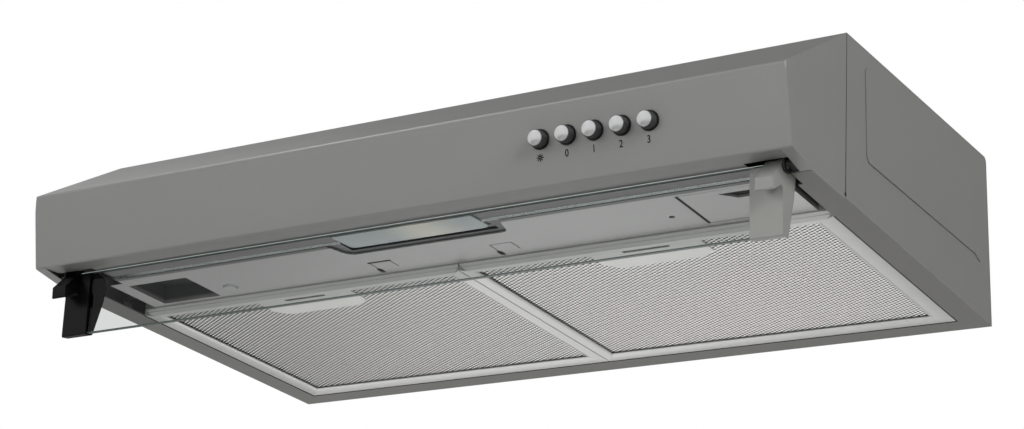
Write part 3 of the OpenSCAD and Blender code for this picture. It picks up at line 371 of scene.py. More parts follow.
# Sheared steel without enamel: bright and smooth, so that it draws a line of light
bare_edge = finish("bare_sheared_steel_edge", ("#D4DBD9", "#E2E8E6"), (0.22, 0.3), metallic=0.8,
                   spot=20, grain=0.4)
lip_section = [(LIP_DEPTH, LIP_LOW), (LIP_DEPTH - LIP_THICK, LIP_LOW),
               (LIP_DEPTH - LIP_THICK - LIP_SLOPE, LIP_HIGH), (LIP_DEPTH, LIP_HIGH)]
for side, hand in HANDS:
    corners = swept(lip_section, (side * LIP_FROM, side * LIP_TO), 0)
    lip = new_piece("flange_lip_" + hand, place(corners), ring_faces(len(lip_section)))
    put(lip, "root", bare_edge, smooth=CRISP)

# Lamp panel: the recessed sheet between the fascia and the filters, painted
# light grey, with its terminal cover and one countersunk screw.
PANEL_RECESS, PANEL_EDGE = 5.2, 53.0
# Painted shade darkens the paint from this far above the sheet to this far (from, to), and in front
# of PANEL_EDGE, fading in over this width
SHADE_FROM, SHADE_TO, SHADE_FRONT = 1.5, 4.0, 0.4


def shade_inside(material, shade):
    """Painted shade, darker than the paint, on what stands up from the lamp panel's sheet and along
    its front edge, where hollow and gap lie in shade. A point's height is its product with the
    normal of the underside, and the higher of the two shares counts."""
    tree = material.node_tree
    shader = next(n for n in tree.nodes if n.type == "BSDF_PRINCIPLED")
    paint = shader.inputs["Base Color"].links[0].from_node
    where = add_node(tree, "ShaderNodeTexCoord")
    level = add_node(tree, "ShaderNodeVectorMath", {0: (where, "Object"), 1: UNDER_NORMAL},
                     operation="DOT_PRODUCT")
    sheet = float(place(underside((0, 0, PANEL_RECESS))) @ UNDER_NORMAL)
    inside = add_node(tree, "ShaderNodeMapRange", {
        "Value": (level, "Value"), "From Min": sheet + SHADE_FROM / MM_PER_M,
        "From Max": sheet + SHADE_TO / MM_PER_M})
    axes = add_node(tree, "ShaderNodeSeparateXYZ", {0: (where, "Object")})
    front = add_node(tree, "ShaderNodeMapRange", {
        "Value": (axes, "Y"), "From Min": place((0, PANEL_EDGE + SHADE_FRONT, 0))[1],
        "From Max": place((0, PANEL_EDGE, 0))[1]})
    shaded = add_node(tree, "ShaderNodeMath", {0: (inside, 0), 1: (front, 0)}, operation="MAXIMUM")
    mixed = add_node(tree, "ShaderNodeMix", {
        0: (shaded, 0), FIRST_COLOUR: (paint, MIXED_COLOUR), SECOND_COLOUR: linear(shade)},
        data_type="RGBA")
    tree.links.new(mixed.outputs[MIXED_COLOUR], shader.inputs["Base Color"])


# Light grey paint with fine metal flakes: even and satin, a little metallic
panel_paint = finish("light_grey_paint_on_steel", ("#ACACAB", "#B2B2B1"), (0.32, 0.4),
                     metallic=0.5, spot=40, grain=0.8, bump=0.15)
# Painted shade on the panel and its cover: darker grey inside the hollow and along the front edge
shade_inside(panel_paint, "#626363")
# Zinc plate on turned steel: bright metal with a fine mottle
zinc = finish("zinc_plate_on_steel", ("#A9ABAC", "#BDBEBD"), (0.28, 0.4), metallic=1.0,
              spot=3, grain=0.3, bump=0.3)
dressed("lamp_panel", panel_paint)
dressed("terminal_cover", panel_paint)
dressed("panel_screw", zinc, edge=0.3)

# Dark strips of painted shade: black sheets behind the blade-shaped opening and the long holes
# and in the gaps along the terminal cover and one tongue stand for the shade of the hollow. Dark
# grey sheets round the lamp and thin black strips along the filter opening paint shade there too.
COVER_LEFT, OPENING_HALF, OPENING_REAR = 197.0, 281.0, 333.0
HOLE_FRONT, HOLE_REAR = 98.0, 109.0
SHADE_GAP_IN, SHADE_GAP_OUT, SHADE_GAP_FRONT = 0.3, 0.5, 111.0
SHADE_SHEET_HALF, SHADE_SHEET_INNER = 72.0, 59.5
SHADE_SHEET_FRONT, SHADE_SHEET_MIDDLE, SHADE_SHEET_REAR = 49.5, 66.0, 84.0
STRIP_THICK = 0.3
# Heights of the strips' lower faces above the flanges
OVER_COVER, OVER_PANEL, UNDER_PANEL, UNDER_FLANGE, SHADE_SHEET_LEVEL = 7.35, 6.4, 4.95, -0.1, 7.0
# Each strip: x from and to, depth from and to, height
# Black strips of painted shade: behind openings, and in the gaps along cover, tongue and filters
STRIPS = {"cover_opening": (222.0, 247.0, 60.5, 72.5, OVER_COVER),
          "long_hole_left": (-63.5, -57.0, HOLE_FRONT, HOLE_REAR, OVER_PANEL),
          "long_hole_right": (35.5, 42.0, HOLE_FRONT, HOLE_REAR, OVER_PANEL),
          "cover_gap": (COVER_LEFT - 1.3, COVER_LEFT + 0.4, 55.5, 104.5, UNDER_PANEL),
          "tongue_gap": (-61.0, -42.0, 86.6, 88.2, UNDER_PANEL),
          "shaded_gap_right": (OPENING_HALF - SHADE_GAP_IN, OPENING_HALF + SHADE_GAP_OUT,
                           SHADE_GAP_FRONT, OPENING_REAR, UNDER_FLANGE),
          "shaded_gap_left": (-OPENING_HALF - SHADE_GAP_OUT, -OPENING_HALF + SHADE_GAP_IN,
                          SHADE_GAP_FRONT, OPENING_REAR, UNDER_FLANGE),
          "shaded_gap_rear": (-OPENING_HALF, OPENING_HALF,
                          OPENING_REAR - SHADE_GAP_IN, OPENING_REAR + SHADE_GAP_OUT, UNDER_FLANGE)}
# Sheets round the lamp whose dark grey is painted shade of the hollow there
SHADE_SHEETS = {"lamp_shade_sheet_rear": (-SHADE_SHEET_HALF, SHADE_SHEET_HALF, SHADE_SHEET_MIDDLE, SHADE_SHEET_REAR, SHADE_SHEET_LEVEL),
        "lamp_shade_sheet_left": (-SHADE_SHEET_HALF, -SHADE_SHEET_INNER, SHADE_SHEET_FRONT, SHADE_SHEET_MIDDLE, SHADE_SHEET_LEVEL),
        "lamp_shade_sheet_right": (SHADE_SHEET_INNER, SHADE_SHEET_HALF, SHADE_SHEET_FRONT, SHADE_SHEET_MIDDLE, SHADE_SHEET_LEVEL)}
# Painted shade of the hollow behind the sheet and of the gap along the filter opening: dull black
painted_shade_black = finish("black_painted_shade", ("#262626", "#2C2C2C"), (0.6, 0.7), spot=10, grain=0.5,
                   specular=0.2)
# Painted shade of the hollow round the lamp, on flat sheets: dark grey and dull, without a highlight
lamp_shade_grey = finish("grey_painted_shade_round_lamp", ("#727373", "#787979"), (0.5, 0.6), spot=20, grain=0.5)
for name, (x0, x1, y0, y1, level) in (STRIPS | SHADE_SHEETS).items():
    plan = [(x0, y0), (x1, y0), (x1, y1), (x0, y1)]
    corners = underside(swept(plan, (level, level + STRIP_THICK), 2))
    strip = new_piece("dark_" + name, place(corners), ring_faces(len(plan)))
    put(strip, "root", lamp_shade_grey if name in SHADE_SHEETS else painted_shade_black, smooth=CRISP)

# Grease filters: two cassettes. Each has a frame of bent aluminium profile with a
# rolled hem along its inner edge and mitred corners, closed round expanded mesh.
FILTER_GAP, FLANGE, PANEL_REAR, FILTER_HEIGHT = 0.5, 19.0, 110.0, 10.0
MEMBER_OUTER, MEMBER_INNER, MEMBER_REAR, MEMBER_FRONT = 14.0, 10.5, 15.0, 9.0
FILTER_X = (FILTER_GAP / 2, HOOD_HALF - FLANGE - FILTER_GAP)
FILTER_Y = (PANEL_REAR + FILTER_GAP, HOOD_DEPTH - FLANGE - FILTER_GAP)
MITRE_GAP = 0.12
# The hem is an arc: its middle and reach as shares of the member's width, its radius in mm, the
# height of its middle in radii, and the angles at its ends
HEM_PLACE, HEM_SHARE, HEM_RADIUS, HEM_LIFT = 0.93, 0.07, 0.6, 1.05
HEM_START, HEM_END, HEM_POINTS = 0.45, 3.1, 7
# Section of a member: share of its width from the outer edge, and height
FRAME_SECTION = np.array(
    [(0.0, FILTER_HEIGHT), (0.0, 0.5), (0.02, 0.15), (0.05, 0.0), (0.81, 0.0), (0.84, 0.2)]
    + [(HEM_PLACE - HEM_SHARE * math.cos(a), HEM_RADIUS * (HEM_LIFT - math.sin(a)))
       for a in np.linspace(HEM_START, HEM_END, HEM_POINTS)]
    + [(1.0, 1.1), (0.93, 1.4), (0.25, 1.4), (0.15, 2.2), (0.15, 7.6), (0.9, 7.8), (1.0, 8.2),
       (1.0, 9.2), (0.95, FILTER_HEIGHT)])
# The front member's outer edge is rolled over, so its front slopes
FRONT_SECTION = FRAME_SECTION.copy()
FRONT_SECTION[:4] = [(0.0, FILTER_HEIGHT), (0.0, 4.4), (0.3, 0.9), (0.42, 0.0)]


def frame_members(side):
    """The section is carried along each side of the frame between two mitres. Each point lies on
    the line from the outer to the inner corner, less half the mitre gap. Returns the points and
    faces of four closed bars."""
    x0, x1, y0, y1 = *FILTER_X, *FILTER_Y
    outer = np.array([(x0, y0), (x1, y0), (x1, y1), (x0, y1)])
    x0, x1, y0, y1 = x0 + MEMBER_INNER, x1 - MEMBER_OUTER, y0 + MEMBER_FRONT, y1 - MEMBER_REAR
    inner = np.array([(x0, y0), (x1, y0), (x1, y1), (x0, y1)])
    size = len(FRAME_SECTION)
    points, faces = [], []
    for k in range(4):
        share, height = np.hsplit(FRONT_SECTION if k == 0 else FRAME_SECTION, 2)
        along = outer[(k + 1) % 4] - outer[k]
        along = along / np.linalg.norm(along) * MITRE_GAP / 2
        for corner, step in ((k, along), ((k + 1) % 4, -along)):
            plan = outer[corner] * (1 - share) + inner[corner] * share + step
            points.append(np.hstack([plan, height]))
        faces += ring_faces(size, start=2 * size * k)
    return place(underside(np.vstack(points) * (side, 1, 1))), faces


# Anodised aluminium, rolled: satin, with a grain drawn out along the hood
aluminium = finish("bright_aluminium_profile", ("#C3C4C2", "#CCCDCB"), (0.36, 0.46),
                   metallic=0.5, spot=30, grain=0.35, stretch=(0.05, 1, 1))

# Filter mesh: rows of slit sheet drawn open. The ribbons step down to the right from
# bond to bond and lean towards the front, short bridges tie them together, and a dark
# core stands for the layers inside. A latch's cavity is left free behind the handle.
HALF_LONG, HALF_SHORT = 2.8, 1.73
BOND_HALF, BOND_WIDE, STRAND_HALF, STRAND_WIDE = 0.4, 1.1, 0.75, 0.5
RIBBON_LEAN, RIBBON_THICK = math.radians(14), 0.15
# How far a bridge starts beside and behind its bond, its height on the ribbons and its width
BRIDGE_BESIDE, BRIDGE_BEHIND, BRIDGE_RISE, BRIDGE_WIDE = 0.25, 0.45, 0.3, 0.6
MESH_TUCK, MESH_END, OUTER_LAYER, INNER_LAYER = 5.0, 1.0, 1.6, 6.4
CORE_LOW, CORE_HIGH = 3.7, 5.2
CAVITY_HALF, CAVITY_REAR = 20.5, 143.8
HANDLE_X = sum(FILTER_X) / 2


def mesh_extent(side):
    """The mesh in plan, x from and to and depth from and to: the frame's inner edges, moved out so
    that the mesh is tucked into the frame."""
    x0, x1 = sorted((side * (FILTER_X[0] + MEMBER_INNER - MESH_TUCK),
                     side * (FILTER_X[1] - MEMBER_OUTER + MESH_TUCK)))
    return x0, x1, FILTER_Y[0] + MEMBER_FRONT - MESH_TUCK, FILTER_Y[1] - MEMBER_REAR + MESH_TUCK


def mesh_rows(side):
    """Bonds lie where the sum of their lattice numbers is even, and a row holds those of one sum.
    Gives the places of each row's bonds, and which of them lie inside the mesh."""
    x0, x1, y0, y1 = mesh_extent(side)
    columns = np.arange(math.ceil((x0 + MESH_END) / HALF_LONG),
                        math.floor((x1 - MESH_END) / HALF_LONG) + 1)
    x = columns * HALF_LONG
    in_cavity = abs(x - side * HANDLE_X) < CAVITY_HALF
    for row in range(int((y0 / HALF_SHORT + columns[0]) / 2),
                     int((y1 / HALF_SHORT + columns[-1]) / 2) + 2):
        y = (2 * row - columns) * HALF_SHORT
        yield x, y, (y > y0) & (y < y1) & ~(in_cavity & (y < CAVITY_REAR))


def mesh_ribbons(side, middle, lean):
    """A ribbon joins the bonds of a row: level and wide at each bond, narrow and sloping between
    two. Its section is a thin bar, turned by the lean. Returns the points and faces of the closed
    ribbons."""
    step = np.array([-STRAND_HALF, -BOND_HALF, BOND_HALF, STRAND_HALF])
    wide = np.array([STRAND_WIDE, BOND_WIDE, BOND_WIDE, STRAND_WIDE])
    slope = -HALF_SHORT / (HALF_LONG - 2 * BOND_HALF)
    down = slope * np.array([BOND_HALF - STRAND_HALF, 0, 0, STRAND_HALF - BOND_HALF])
    points, faces, count = [], [], 0
    for x, y, kept in mesh_rows(side):
        breaks = np.flatnonzero(np.diff(np.concatenate([[0], kept.astype(int), [0]])))
        for first, last in breaks.reshape(-1, 2):
            line_x = (x[first:last, None] + step).reshape(-1, 1)
            line_y = (y[first:last, None] + down).reshape(-1, 1)
            across = np.tile(wide, last - first)[:, None] / 2 * (-1, 1, 1, -1)
            ribbon = np.empty((len(line_x), 4, 3))
            ribbon[..., 0] = line_x
            ribbon[..., 1] = line_y + across * math.cos(lean)
            ribbon[..., 2] = middle - across * math.sin(lean) + RIBBON_THICK * np.array([0, 0, 1, 1])
            points.append(ribbon.reshape(-1, 3))
            faces += ring_faces(4, len(line_x), count)
            count += len(line_x) * 4
    return place(underside(np.vstack(points))), faces


def mesh_bridges(side, middle):
    """A bridge joins a bond to the next ribbon, a row further back. One closed bar, from beside the
    bond to as far before the next one, is repeated at every bond that has a ribbon behind it.
    Returns the points and faces of the bridges."""
    rear = mesh_extent(side)[3]
    bonds = []
    for x, y, kept in mesh_rows(side):
        tied = kept[:-1] & (y[:-1] + 2 * HALF_SHORT < rear)
        bonds.append(np.stack([x[:-1][tied], y[:-1][tied]], -1))
    bonds = np.concatenate(bonds)
    ends = np.array([(BRIDGE_BESIDE, BRIDGE_BEHIND),
                     (HALF_LONG - BRIDGE_BESIDE, HALF_SHORT - BRIDGE_BEHIND)])
    across, up = np.array([(-1, 0), (1, 0), (1, 1), (-1, 1)]).T
    bars = np.empty((len(bonds), 2, 4, 3))
    bars[..., :2] = bonds[:, None, None] + ends[:, None]
    bars[..., 1] += across * BRIDGE_WIDE / 2
    bars[..., 2] = middle + BRIDGE_RISE + up * RIBBON_THICK
    faces = np.array(ring_faces(4)) + len(ends) * len(up) * np.arange(len(bonds))[:, None, None]
    return place(underside(bars.reshape(-1, 3))), faces.reshape(-1, 4).tolist()


def mesh_core(side):
    """A flat slab as wide as the mesh, with a notch for the latch's cavity at its front edge."""
    x0, x1, y0, y1 = mesh_extent(1)
    plan = [(x0, y0), (HANDLE_X - CAVITY_HALF, y0), (HANDLE_X - CAVITY_HALF, CAVITY_REAR),
            (HANDLE_X + CAVITY_HALF, CAVITY_REAR), (HANDLE_X + CAVITY_HALF, y0), (x1, y0),
            (x1, y1), (x0, y1)]
    points = swept(plan, (CORE_LOW, CORE_HIGH), 2) * (side, 1, 1)
    return place(underside(points)), ring_faces(len(plan))


# Expanded aluminium as it leaves the press: bright strands that glitter
mesh_metal = finish("expanded_aluminium_mesh", ("#E0E1DF", "#ECECEB"), (0.24, 0.36),
                    metallic=0.9, spot=5, grain=0.4)
# The layers inside lie in the shade of the outer ones: dark, with a coarse sparkle
core_metal = finish("inner_mesh_layers", ("#161716", "#262726"), (0.5, 0.7), metallic=0.3,
                    spot=1.1, grain=0.6, bump=0.5)
for side, hand in HANDS:
    body = "filter_" + hand
    profile = new_piece("filter_frame_%s_profile" % hand, *frame_members(side))
    put(profile, body, aluminium, smooth=25)
    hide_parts("filter_frame_" + hand)
    outer_mesh = new_piece("filter_mesh_%s_outer" % hand,
                           *mesh_ribbons(side, OUTER_LAYER, RIBBON_LEAN))
    put(outer_mesh, body, mesh_metal, smooth=CRISP)
    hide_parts("filter_mesh_" + hand)
    bridges = new_piece("filter_mesh_%s_bridges" % hand, *mesh_bridges(side, OUTER_LAYER))
    put(bridges, body, mesh_metal, smooth=CRISP)
    inner_mesh = new_piece("filter_mesh_%s_inner" % hand,
                           *mesh_ribbons(side, INNER_LAYER, -RIBBON_LEAN))
    put(inner_mesh, body, mesh_metal, smooth=CRISP)
    core = new_piece("filter_core_" + hand, *mesh_core(side))
    put(core, body, core_metal)
    dressed("filter_handle_" + hand, aluminium, edge=0.3)
    # Moulded acetal: grey, with a soft low shine
    acetal = finish("grey_acetal_latch_" + hand, ("#7C7D7E", "#858686"), (0.4, 0.5), spot=10,
                    grain=0.4)
    dressed("filter_latch_" + hand, acetal, edge=0.2)

# Lamp: a moulded lens of frosted polycarbonate in a grey plastic housing. A warm pale
# patch over the bulb is painted glow in the lens's cool colour, and a white rim at its rear and
# its two ends is a painted highlight. These places are in metres.
BULB_X, GLOW_REACH = 0.012, 0.034
LENS_HALF, LENS_REAR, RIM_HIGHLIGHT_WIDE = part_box("lamp_lens")[1].x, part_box("lamp_lens")[1].y, 0.0016
# The frost's grain and depth in millimetres: it is finer on the real lens, and is drawn this
# coarse so that it shows
FROST_GRAIN, FROST_DEPTH = 2 / 3, 0.1
# Polycarbonate, moulded against a frosted tool: milky, with the bulb's glow painted in as a warm
# patch
lens_plastic, tree = new_material("frosted_polycarbonate_lens")
where = add_node(tree, "ShaderNodeTexCoord")
frost = add_node(tree, "ShaderNodeTexNoise", {
    "Vector": (where, "Object"), "Scale": MM_PER_M / FROST_GRAIN})
relief = add_node(tree, "ShaderNodeBump", {
    "Height": (frost, 0), "Strength": 0.1, "Distance": FROST_DEPTH / MM_PER_M})
axes = add_node(tree, "ShaderNodeSeparateXYZ", {0: (where, "Object")})
offset = add_node(tree, "ShaderNodeMath", {0: (axes, "X"), 1: BULB_X}, operation="SUBTRACT")
from_bulb = add_node(tree, "ShaderNodeMath", {0: (offset, 0)}, operation="ABSOLUTE")
# Painted glow of the bulb: the colour turns warm and pale towards the bulb's place
painted_bulb_glow = add_node(tree, "ShaderNodeMapRange", {
    "Value": (from_bulb, 0), "From Min": 0.0, "From Max": GLOW_REACH, "To Min": 1.0, "To Max": 0.0},
    interpolation_type="SMOOTHSTEP")
tone = add_node(tree, "ShaderNodeMix", {
    0: (painted_bulb_glow, 0), FIRST_COLOUR: linear("#C2CCCD"), SECOND_COLOUR: linear("#F6F4E8")},
    data_type="RGBA")
# Painted highlight: a white rim along the lens's two ends and its rear
from_middle = add_node(tree, "ShaderNodeMath", {0: (axes, "X")}, operation="ABSOLUTE")
end_highlight = add_node(tree, "ShaderNodeMath", {0: (from_middle, 0), 1: LENS_HALF - RIM_HIGHLIGHT_WIDE},
                   operation="GREATER_THAN")
rear_highlight = add_node(tree, "ShaderNodeMath", {0: (axes, "Y"), 1: LENS_REAR - RIM_HIGHLIGHT_WIDE},
                    operation="GREATER_THAN")
painted_rim_highlight = add_node(tree, "ShaderNodeMath", {0: (end_highlight, 0), 1: (rear_highlight, 0)}, operation="MAXIMUM")
highlighted = add_node(tree, "ShaderNodeMix", {
    0: (painted_rim_highlight, 0), FIRST_COLOUR: (tone, MIXED_COLOUR), SECOND_COLOUR: linear("#FFFFFF")},
    data_type="RGBA")
shader = add_node(tree, "ShaderNodeBsdfPrincipled", {
    "Base Color": (highlighted, MIXED_COLOUR), "Roughness": 0.35, "Transmission Weight": 0.1,
    "IOR": 1.5, "Normal": (relief, 0)})
add_node(tree, "ShaderNodeOutputMaterial", {"Surface": (shader, 0)})
dressed("lamp_lens", lens_plastic, edge=0.6, segments=3)
# White moulded plastic of lamp and wiring parts: an even, soft shine
white_plastic = finish("white_lamp_plastic", ("#E4E3DF", "#ECEBE8"), (0.4, 0.5), spot=20, grain=0.5)
# Grey moulded plastic of the lamp's housing: satin
housing_plastic = finish("dark_grey_lamp_housing", ("#8A8B8B", "#929393"), (0.45, 0.55),
                         spot=20, grain=0.5)
dressed("lamp_housing", housing_plastic, edge=0.4)
# Frosted glass: white and smooth
bulb_glass = finish("frosted_bulb_glass", ("#F1EFE8", "#F7F5EF"), (0.25, 0.3), spot=20, grain=0.6)
dressed("lamp_bulb", bulb_glass, edge=0.0)
dressed("lamp_holder", white_plastic, edge=0.3)

# Buttons: turned caps with a shallow dome in spun satin silver on a barrel whose dark
# grey is painted shade of its side, each in a black ring of the common guide.
FACE_TOP, FACE_LEAN, FACE_HEIGHT = 76.0, 8.4, 52.6
FACE_TILT = math.atan2(FACE_LEAN, FACE_HEIGHT)
BUTTON_START, BUTTON_PITCH, BUTTON_DROP = 126.6, 19.5, 22.5
BUTTON_RADIUS, BUTTON_OUT, BARREL_END, BUTTON_CORNERS = 5.6, 8.5, 9.0, 64
STEM_RADIUS, STEM_END = 2.5, 23.0
# The cap's radius, the height of its dome and the share of it by which the dome falls, the dome's
# points, and the share of the radius at which it ends beside the middle
CAP_RADIUS, DOME, DOME_FALL, DOME_POINTS, DOME_MIDDLE = 5.0, 1.3, 0.9, 9, 0.02
# The edges of cap and barrel are measured from here, a dome's height behind the cap's front
CAP_RIM = DOME - BUTTON_OUT
# Grain of the spun surface and its depth: turning lines are finer and are drawn this coarse
SPUN_GRAIN, SPUN_DEPTH = 0.4, 0.05


def on_face(points):
    """Points of the leaning front face (x, into the hood, up from the top edge) as layout
    millimetres: turned by the lean about the top edge."""
    x, y, z = np.moveaxis(np.asarray(points, float), -1, 0)
    cos, sin = math.cos(FACE_TILT), math.sin(FACE_TILT)
    return np.stack([x, y * cos - z * sin, y * sin + z * cos + FACE_TOP], -1)


def turned(profile, x):
    """A profile of (radius, way into the face) turned round a button's axis: radius times cosine
    and sine, with the way kept. Returns points and faces."""
    angle = np.linspace(0, 2 * math.pi, BUTTON_CORNERS, endpoint=False)
    radius, way = np.hsplit(np.array(profile), 2)
    ring = np.stack([x + radius * np.cos(angle), way * np.ones_like(angle),
                     radius * np.sin(angle) - BUTTON_DROP], -1)
    return place(on_face(ring)), ring_faces(BUTTON_CORNERS, len(profile))


# Aluminium, spun and lacquered: satin silver with a soft, wide highlight
spun_silver, tree = new_material("spun_satin_silver")
where = add_node(tree, "ShaderNodeTexCoord")
fine = add_node(tree, "ShaderNodeTexNoise", {
    "Vector": (where, "Object"), "Scale": MM_PER_M / SPUN_GRAIN, "Detail": 2.0})
tone = add_node(tree, "ShaderNodeMix", {
    0: (fine, 0), FIRST_COLOUR: linear("#C6C7C8"), SECOND_COLOUR: linear("#DADADA")},
    data_type="RGBA")
relief = add_node(tree, "ShaderNodeBump", {
    "Height": (fine, 0), "Strength": 0.12, "Distance": SPUN_DEPTH / MM_PER_M})
shader = add_node(tree, "ShaderNodeBsdfPrincipled", {
    "Base Color": (tone, MIXED_COLOUR), "Metallic": 1.0, "Roughness": 0.3, "Normal": (relief, 0)})
add_node(tree, "ShaderNodeOutputMaterial", {"Surface": (shader, 0)})
# Moulded ABS, even satin: black on the rings; on the barrels a dark grey that paints the shade of
# their sides
shaded_barrel = finish("dark_grey_abs_painted_shade", ("#303031", "#39393A"), (0.3, 0.38),
                     spot=6, grain=0.3)
black_plastic = finish("black_moulded_abs", ("#0D0D0D", "#161616"), (0.34, 0.42),
                       spot=8, grain=0.35)
# The cap's dome falls from its middle to its rim as a cosine, then comes a short rounded edge
cap_profile = [(CAP_RADIUS - 0.4, CAP_RIM + 1.4), (CAP_RADIUS, CAP_RIM + 0.9)] + [
    (CAP_RADIUS * s, DOME * (1 - math.cos(s * math.pi / 2)) * DOME_FALL - BUTTON_OUT)
    for s in np.linspace(1, DOME_MIDDLE, DOME_POINTS)]
# The barrel's front edge is rounded, and its front is hollowed down to the stem
barrel_profile = [(BUTTON_RADIUS, BARREL_END), (BUTTON_RADIUS, CAP_RIM + 0.9),
                  (BUTTON_RADIUS - 0.15, CAP_RIM + 0.55), (BUTTON_RADIUS - 0.45, CAP_RIM + 0.4),
                  (CAP_RADIUS - 0.3, CAP_RIM + 0.5), (STEM_RADIUS, CAP_RIM + 1.0),
                  (STEM_RADIUS, STEM_END)]
BUTTONS = ["button_light", "button_stop", "button_speed_1", "button_speed_2", "button_speed_3"]
for i, name in enumerate(BUTTONS):
    x = BUTTON_START + i * BUTTON_PITCH
    barrel = new_piece(name + "_barrel", *turned(barrel_profile, x))
    put(barrel, name, shaded_barrel, smooth=35)
    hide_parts(name)
    cap = new_piece(name + "_cap", *turned(cap_profile, x))
    put(cap, name, spun_silver, smooth=40)
dressed("button_guide", black_plastic, edge=0.2)

# Marks under the buttons: a ray symbol for the lamp and the numbers 0 to 3,
# printed in black on the enamel.
MARK_HEIGHT, MARK_NARROW, MARK_PLACE, MARK_BOLD = 4.9, 0.82, 34.3, 0.09
MARK_THICK, MARK_SUNK = 0.12, 0.03
MARK_X = [126.0, 145.4, 164.9, 184.1, 203.6]
# Height of a figure as a share of the font's size
FIGURE_SHARE = 0.72
# The ray symbol, as shares of the marks' height: where the rays start and end, and half their width
RAYS, RAY_START, RAY_END, RAY_HALF = 8, 0.08, 0.52, 0.075
# Screen-printed ink: flat black, without a highlight
print_ink = finish("black_printing_ink", ("#101010", "#161616"), (0.5, 0.6), spot=5, grain=0.3,
                   specular=0.2)


def ray_symbol():
    """Closed bars round a centre, an equal turn apart. A corner is the way along its ray times its
    reach, plus or minus half the width across. Returns points and faces."""
    turn = 2 * math.pi * np.arange(RAYS)[:, None, None] / RAYS
    along = MARK_HEIGHT * np.concatenate([np.cos(turn), np.sin(turn)], -1)
    across = MARK_HEIGHT * RAY_HALF * np.concatenate([-np.sin(turn), np.cos(turn)], -1)
    reach = np.array([RAY_START, RAY_END, RAY_END, RAY_START])[:, None]
    way = np.array([-1, -1, 1, 1])[:, None]
    bars = np.empty((RAYS, 2, 4, 3))
    bars[..., :2] = (along * reach + across * way)[:, None]
    bars[..., 2] = np.array([0, MARK_THICK])[:, None]
    faces = np.array(ring_faces(4)) + bars[0, ..., 0].size * np.arange(RAYS)[:, None, None]
    return bars.reshape(-1, 3), faces.reshape(-1, 4).tolist()


def figure(digit):
    """A digit of Blender's own font as a flat closed shape in the plane of the face. Returns points
    and faces."""
    curve = bpy.data.curves.new("mark_" + digit, "FONT")
    curve.body = digit
    curve.size = MARK_HEIGHT / FIGURE_SHARE
    curve.align_x, curve.align_y = "CENTER", "CENTER"
    curve.extrude = MARK_THICK / 2
    curve.offset = MARK_BOLD
    text = bpy.data.objects.new("mark_text", curve)
    scene.collection.objects.link(text)
    bpy.context.view_layer.update()
    evaluated = text.evaluated_get(bpy.context.evaluated_depsgraph_get())
    flat = bpy.data.meshes.new_from_object(evaluated)
    points = np.empty(len(flat.vertices) * 3, np.float32)
    flat.vertices.foreach_get("co", points)
    bpy.data.objects.remove(text)
    return (points.reshape(-1, 3) * (MARK_NARROW, 1, 1) + (0, 0, MARK_THICK / 2),
            [list(p.vertices) for p in flat.polygons])


for i, mark in enumerate("*0123"):
    plan, faces = ray_symbol() if mark == "*" else figure(mark)
    points = np.stack([plan[:, 0] + MARK_X[i], MARK_SUNK - plan[:, 2], plan[:, 1] - MARK_PLACE], -1)
    mark_piece = new_piece("mark_%d" % i, place(on_face(points)), faces)
    put(mark_piece, "root", print_ink)

# Visor: a pane of float glass with ground edges and polished chamfers, held at each
# end by a moulded bracket that turns on a pin in a small steel ear.
PANE_HALF, PANE_FRONT, PANE_BACK = 271.8, 28.0, 32.0
PANE_LOW, PANE_HIGH, PANE_CHAMFER = -23.6, 22.4, 0.5
# Share of its mirror that the pane shows on the side where light comes in
MIRROR_SHARE = 0.8
# The pane's materials, in the order in which it holds them, and how far a face's normal has to
# point along the depth for a broad face and for a chamfer
GLASS, GROUND, POLISHED = 0, 1, 2
BROAD_NORMAL, CHAMFER_NORMAL = 0.9, 0.3
# Float glass: clear, with a faint grey tint and a mirror that grows towards a flat view
pane_glass, tree = new_material("float_glass")
tint = add_node(tree, "ShaderNodeBsdfTransparent", {"Color": linear("#EBECEC")})
mirror = add_node(tree, "ShaderNodeBsdfGlossy", {"Color": linear("#A2A4A4"), "Roughness": 0.02})
fresnel = add_node(tree, "ShaderNodeFresnel", {"IOR": 1.5})
facing = add_node(tree, "ShaderNodeNewGeometry")
entering = add_node(tree, "ShaderNodeMath", {0: MIRROR_SHARE, 1: (facing, "Backfacing")},
                    operation="SUBTRACT", use_clamp=True)
weak = add_node(tree, "ShaderNodeMath", {0: (fresnel, 0), 1: (entering, 0)}, operation="MULTIPLY")
pane_mix = add_node(tree, "ShaderNodeMixShader", {0: (weak, 0), 1: (tint, 0), 2: (mirror, 0)})
add_node(tree, "ShaderNodeOutputMaterial", {"Surface": (pane_mix, 0)})
# Glass edge, ground: dark green and dull, as light sinks into it
ground_edge = finish("ground_glass_edge", ("#36433F", "#42504B"), (0.25, 0.35), spot=25,
                     grain=0.3, bump=0.3)
# Glass chamfer, polished, with a painted glow: it gives off light of its own as a pale line
polished_chamfer_glow = finish("polished_glass_chamfer_painted_glow", ("#DDEBE7", "#E6F1EE"), (0.15, 0.2),
                          spot=25, grain=0.3, glow=0.42)


def pane_finish(normal):
    """Which of its materials a face of the pane has: glass on the two broad faces, polished on the
    chamfer above the front face, and ground on the other edges."""
    if abs(normal.y) > BROAD_NORMAL:
        return GLASS
    return POLISHED if normal.y < -CHAMFER_NORMAL and normal.z > 0 else GROUND


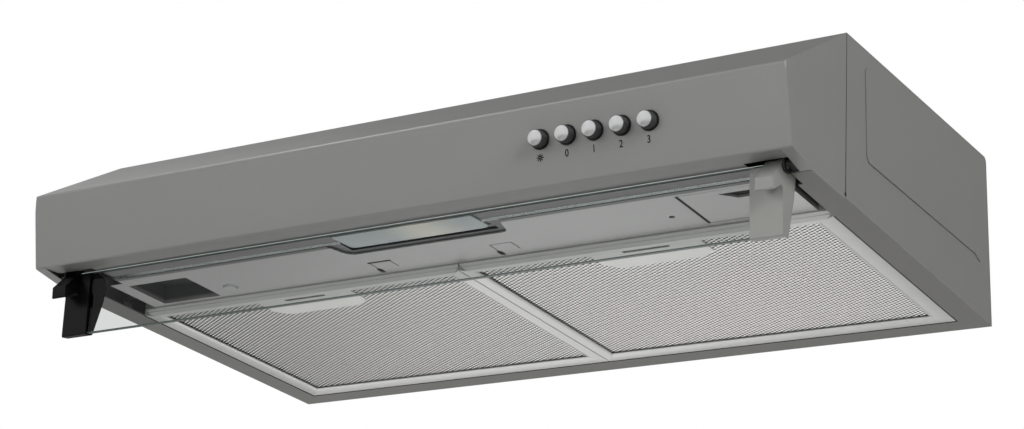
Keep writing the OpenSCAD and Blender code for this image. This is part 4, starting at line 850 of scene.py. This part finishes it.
c = PANE_CHAMFER
pane_section = [(PANE_FRONT, PANE_LOW + c), (PANE_FRONT + c, PANE_LOW),
                (PANE_BACK - c, PANE_LOW), (PANE_BACK, PANE_LOW + c),
                (PANE_BACK, PANE_HIGH - c), (PANE_BACK - c, PANE_HIGH),
                (PANE_FRONT + c, PANE_HIGH), (PANE_FRONT, PANE_HIGH - c)]
points = swept(pane_section, (-PANE_HALF, PANE_HALF), 0)
pane = new_piece("visor_pane", place(points), ring_faces(len(pane_section)))
put(pane, "visor", pane_glass)
pane.data.materials.append(ground_edge)
pane.data.materials.append(polished_chamfer_glow)
pane.data.shade_flat()
for face in pane.data.polygons:
    face.material_index = pane_finish(face.normal)
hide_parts("visor_glass")
# Moulded ABS of the brackets: grey and satin on the right, black and smoother on the left
grey_plastic = finish("grey_moulded_abs", ("#868683", "#8D8D8A"), (0.36, 0.44), spot=12,
                      grain=0.4, bump=0.3)
black_gloss = finish("black_moulded_bracket", ("#050505", "#0A0A0A"), (0.25, 0.33), spot=12,
                     grain=0.4, bump=0.3, specular=0.15)
dressed("visor_bracket_left", black_gloss, edge=0.7, segments=3)
dressed("visor_bracket_right", grey_plastic, edge=0.7, segments=3)
# Black paint on pressed steel: dull
black_steel = finish("black_painted_steel", ("#121212", "#1A1A1A"), (0.4, 0.5), spot=10, grain=0.5)
for hand in ("left", "right"):
    dressed("visor_hinge_" + hand, black_steel, edge=0.2)
dressed("visor_pins", zinc, edge=0.2)

# Outlet and inlet on the top: the moulded duct collar with its two flaps on
# their pin, the collar's screws and the cable gland.
# Moulded polypropylene: grey, with a soft waxy shine
grey_fan = finish("grey_moulded_polypropylene", ("#5E6062", "#686A6B"), (0.42, 0.52), spot=14,
                  grain=0.5)
dressed("outlet_collar", black_plastic, edge=0.3)
for hand in ("left", "right"):
    dressed("flap_" + hand, grey_fan, edge=0.15)
for node in ("collar_screws", "flap_pin"):
    dressed(node, zinc, edge=0.15)
dressed("cable_gland", black_plastic, edge=0.3)

# Inside: fan, motor and electrics keep the solids of the frame and get the
# finish of what they are made of.
# Zinc plate on the motor's drawn cup: grey metal with a soft shine
plated_cup = finish("zinc_plated_motor_cup", ("#9C9E9F", "#AEB0B0"), (0.3, 0.4), metallic=1.0,
                    spot=9, grain=0.4)
# Moulded rubber: black and dull
rubber = finish("black_rubber", ("#141414", "#1B1B1B"), (0.6, 0.7), spot=5, grain=0.5)
INSIDE = {"fan_scroll": grey_fan, "scroll_cover": grey_fan, "scroll_screws": zinc,
          "impeller": black_plastic, "motor_shaft": zinc, "motor": plated_cup,
          "motor_bracket": zinc, "motor_bushes": rubber, "junction_box": black_plastic,
          "junction_lid": black_plastic, "terminal_block": white_plastic,
          "capacitor": white_plastic, "capacitor_clip": zinc, "switch_block": black_plastic}
for name, material in INSIDE.items():
    slots = frame["nodes"][name].data.materials
    slots.clear()
    slots.append(material)
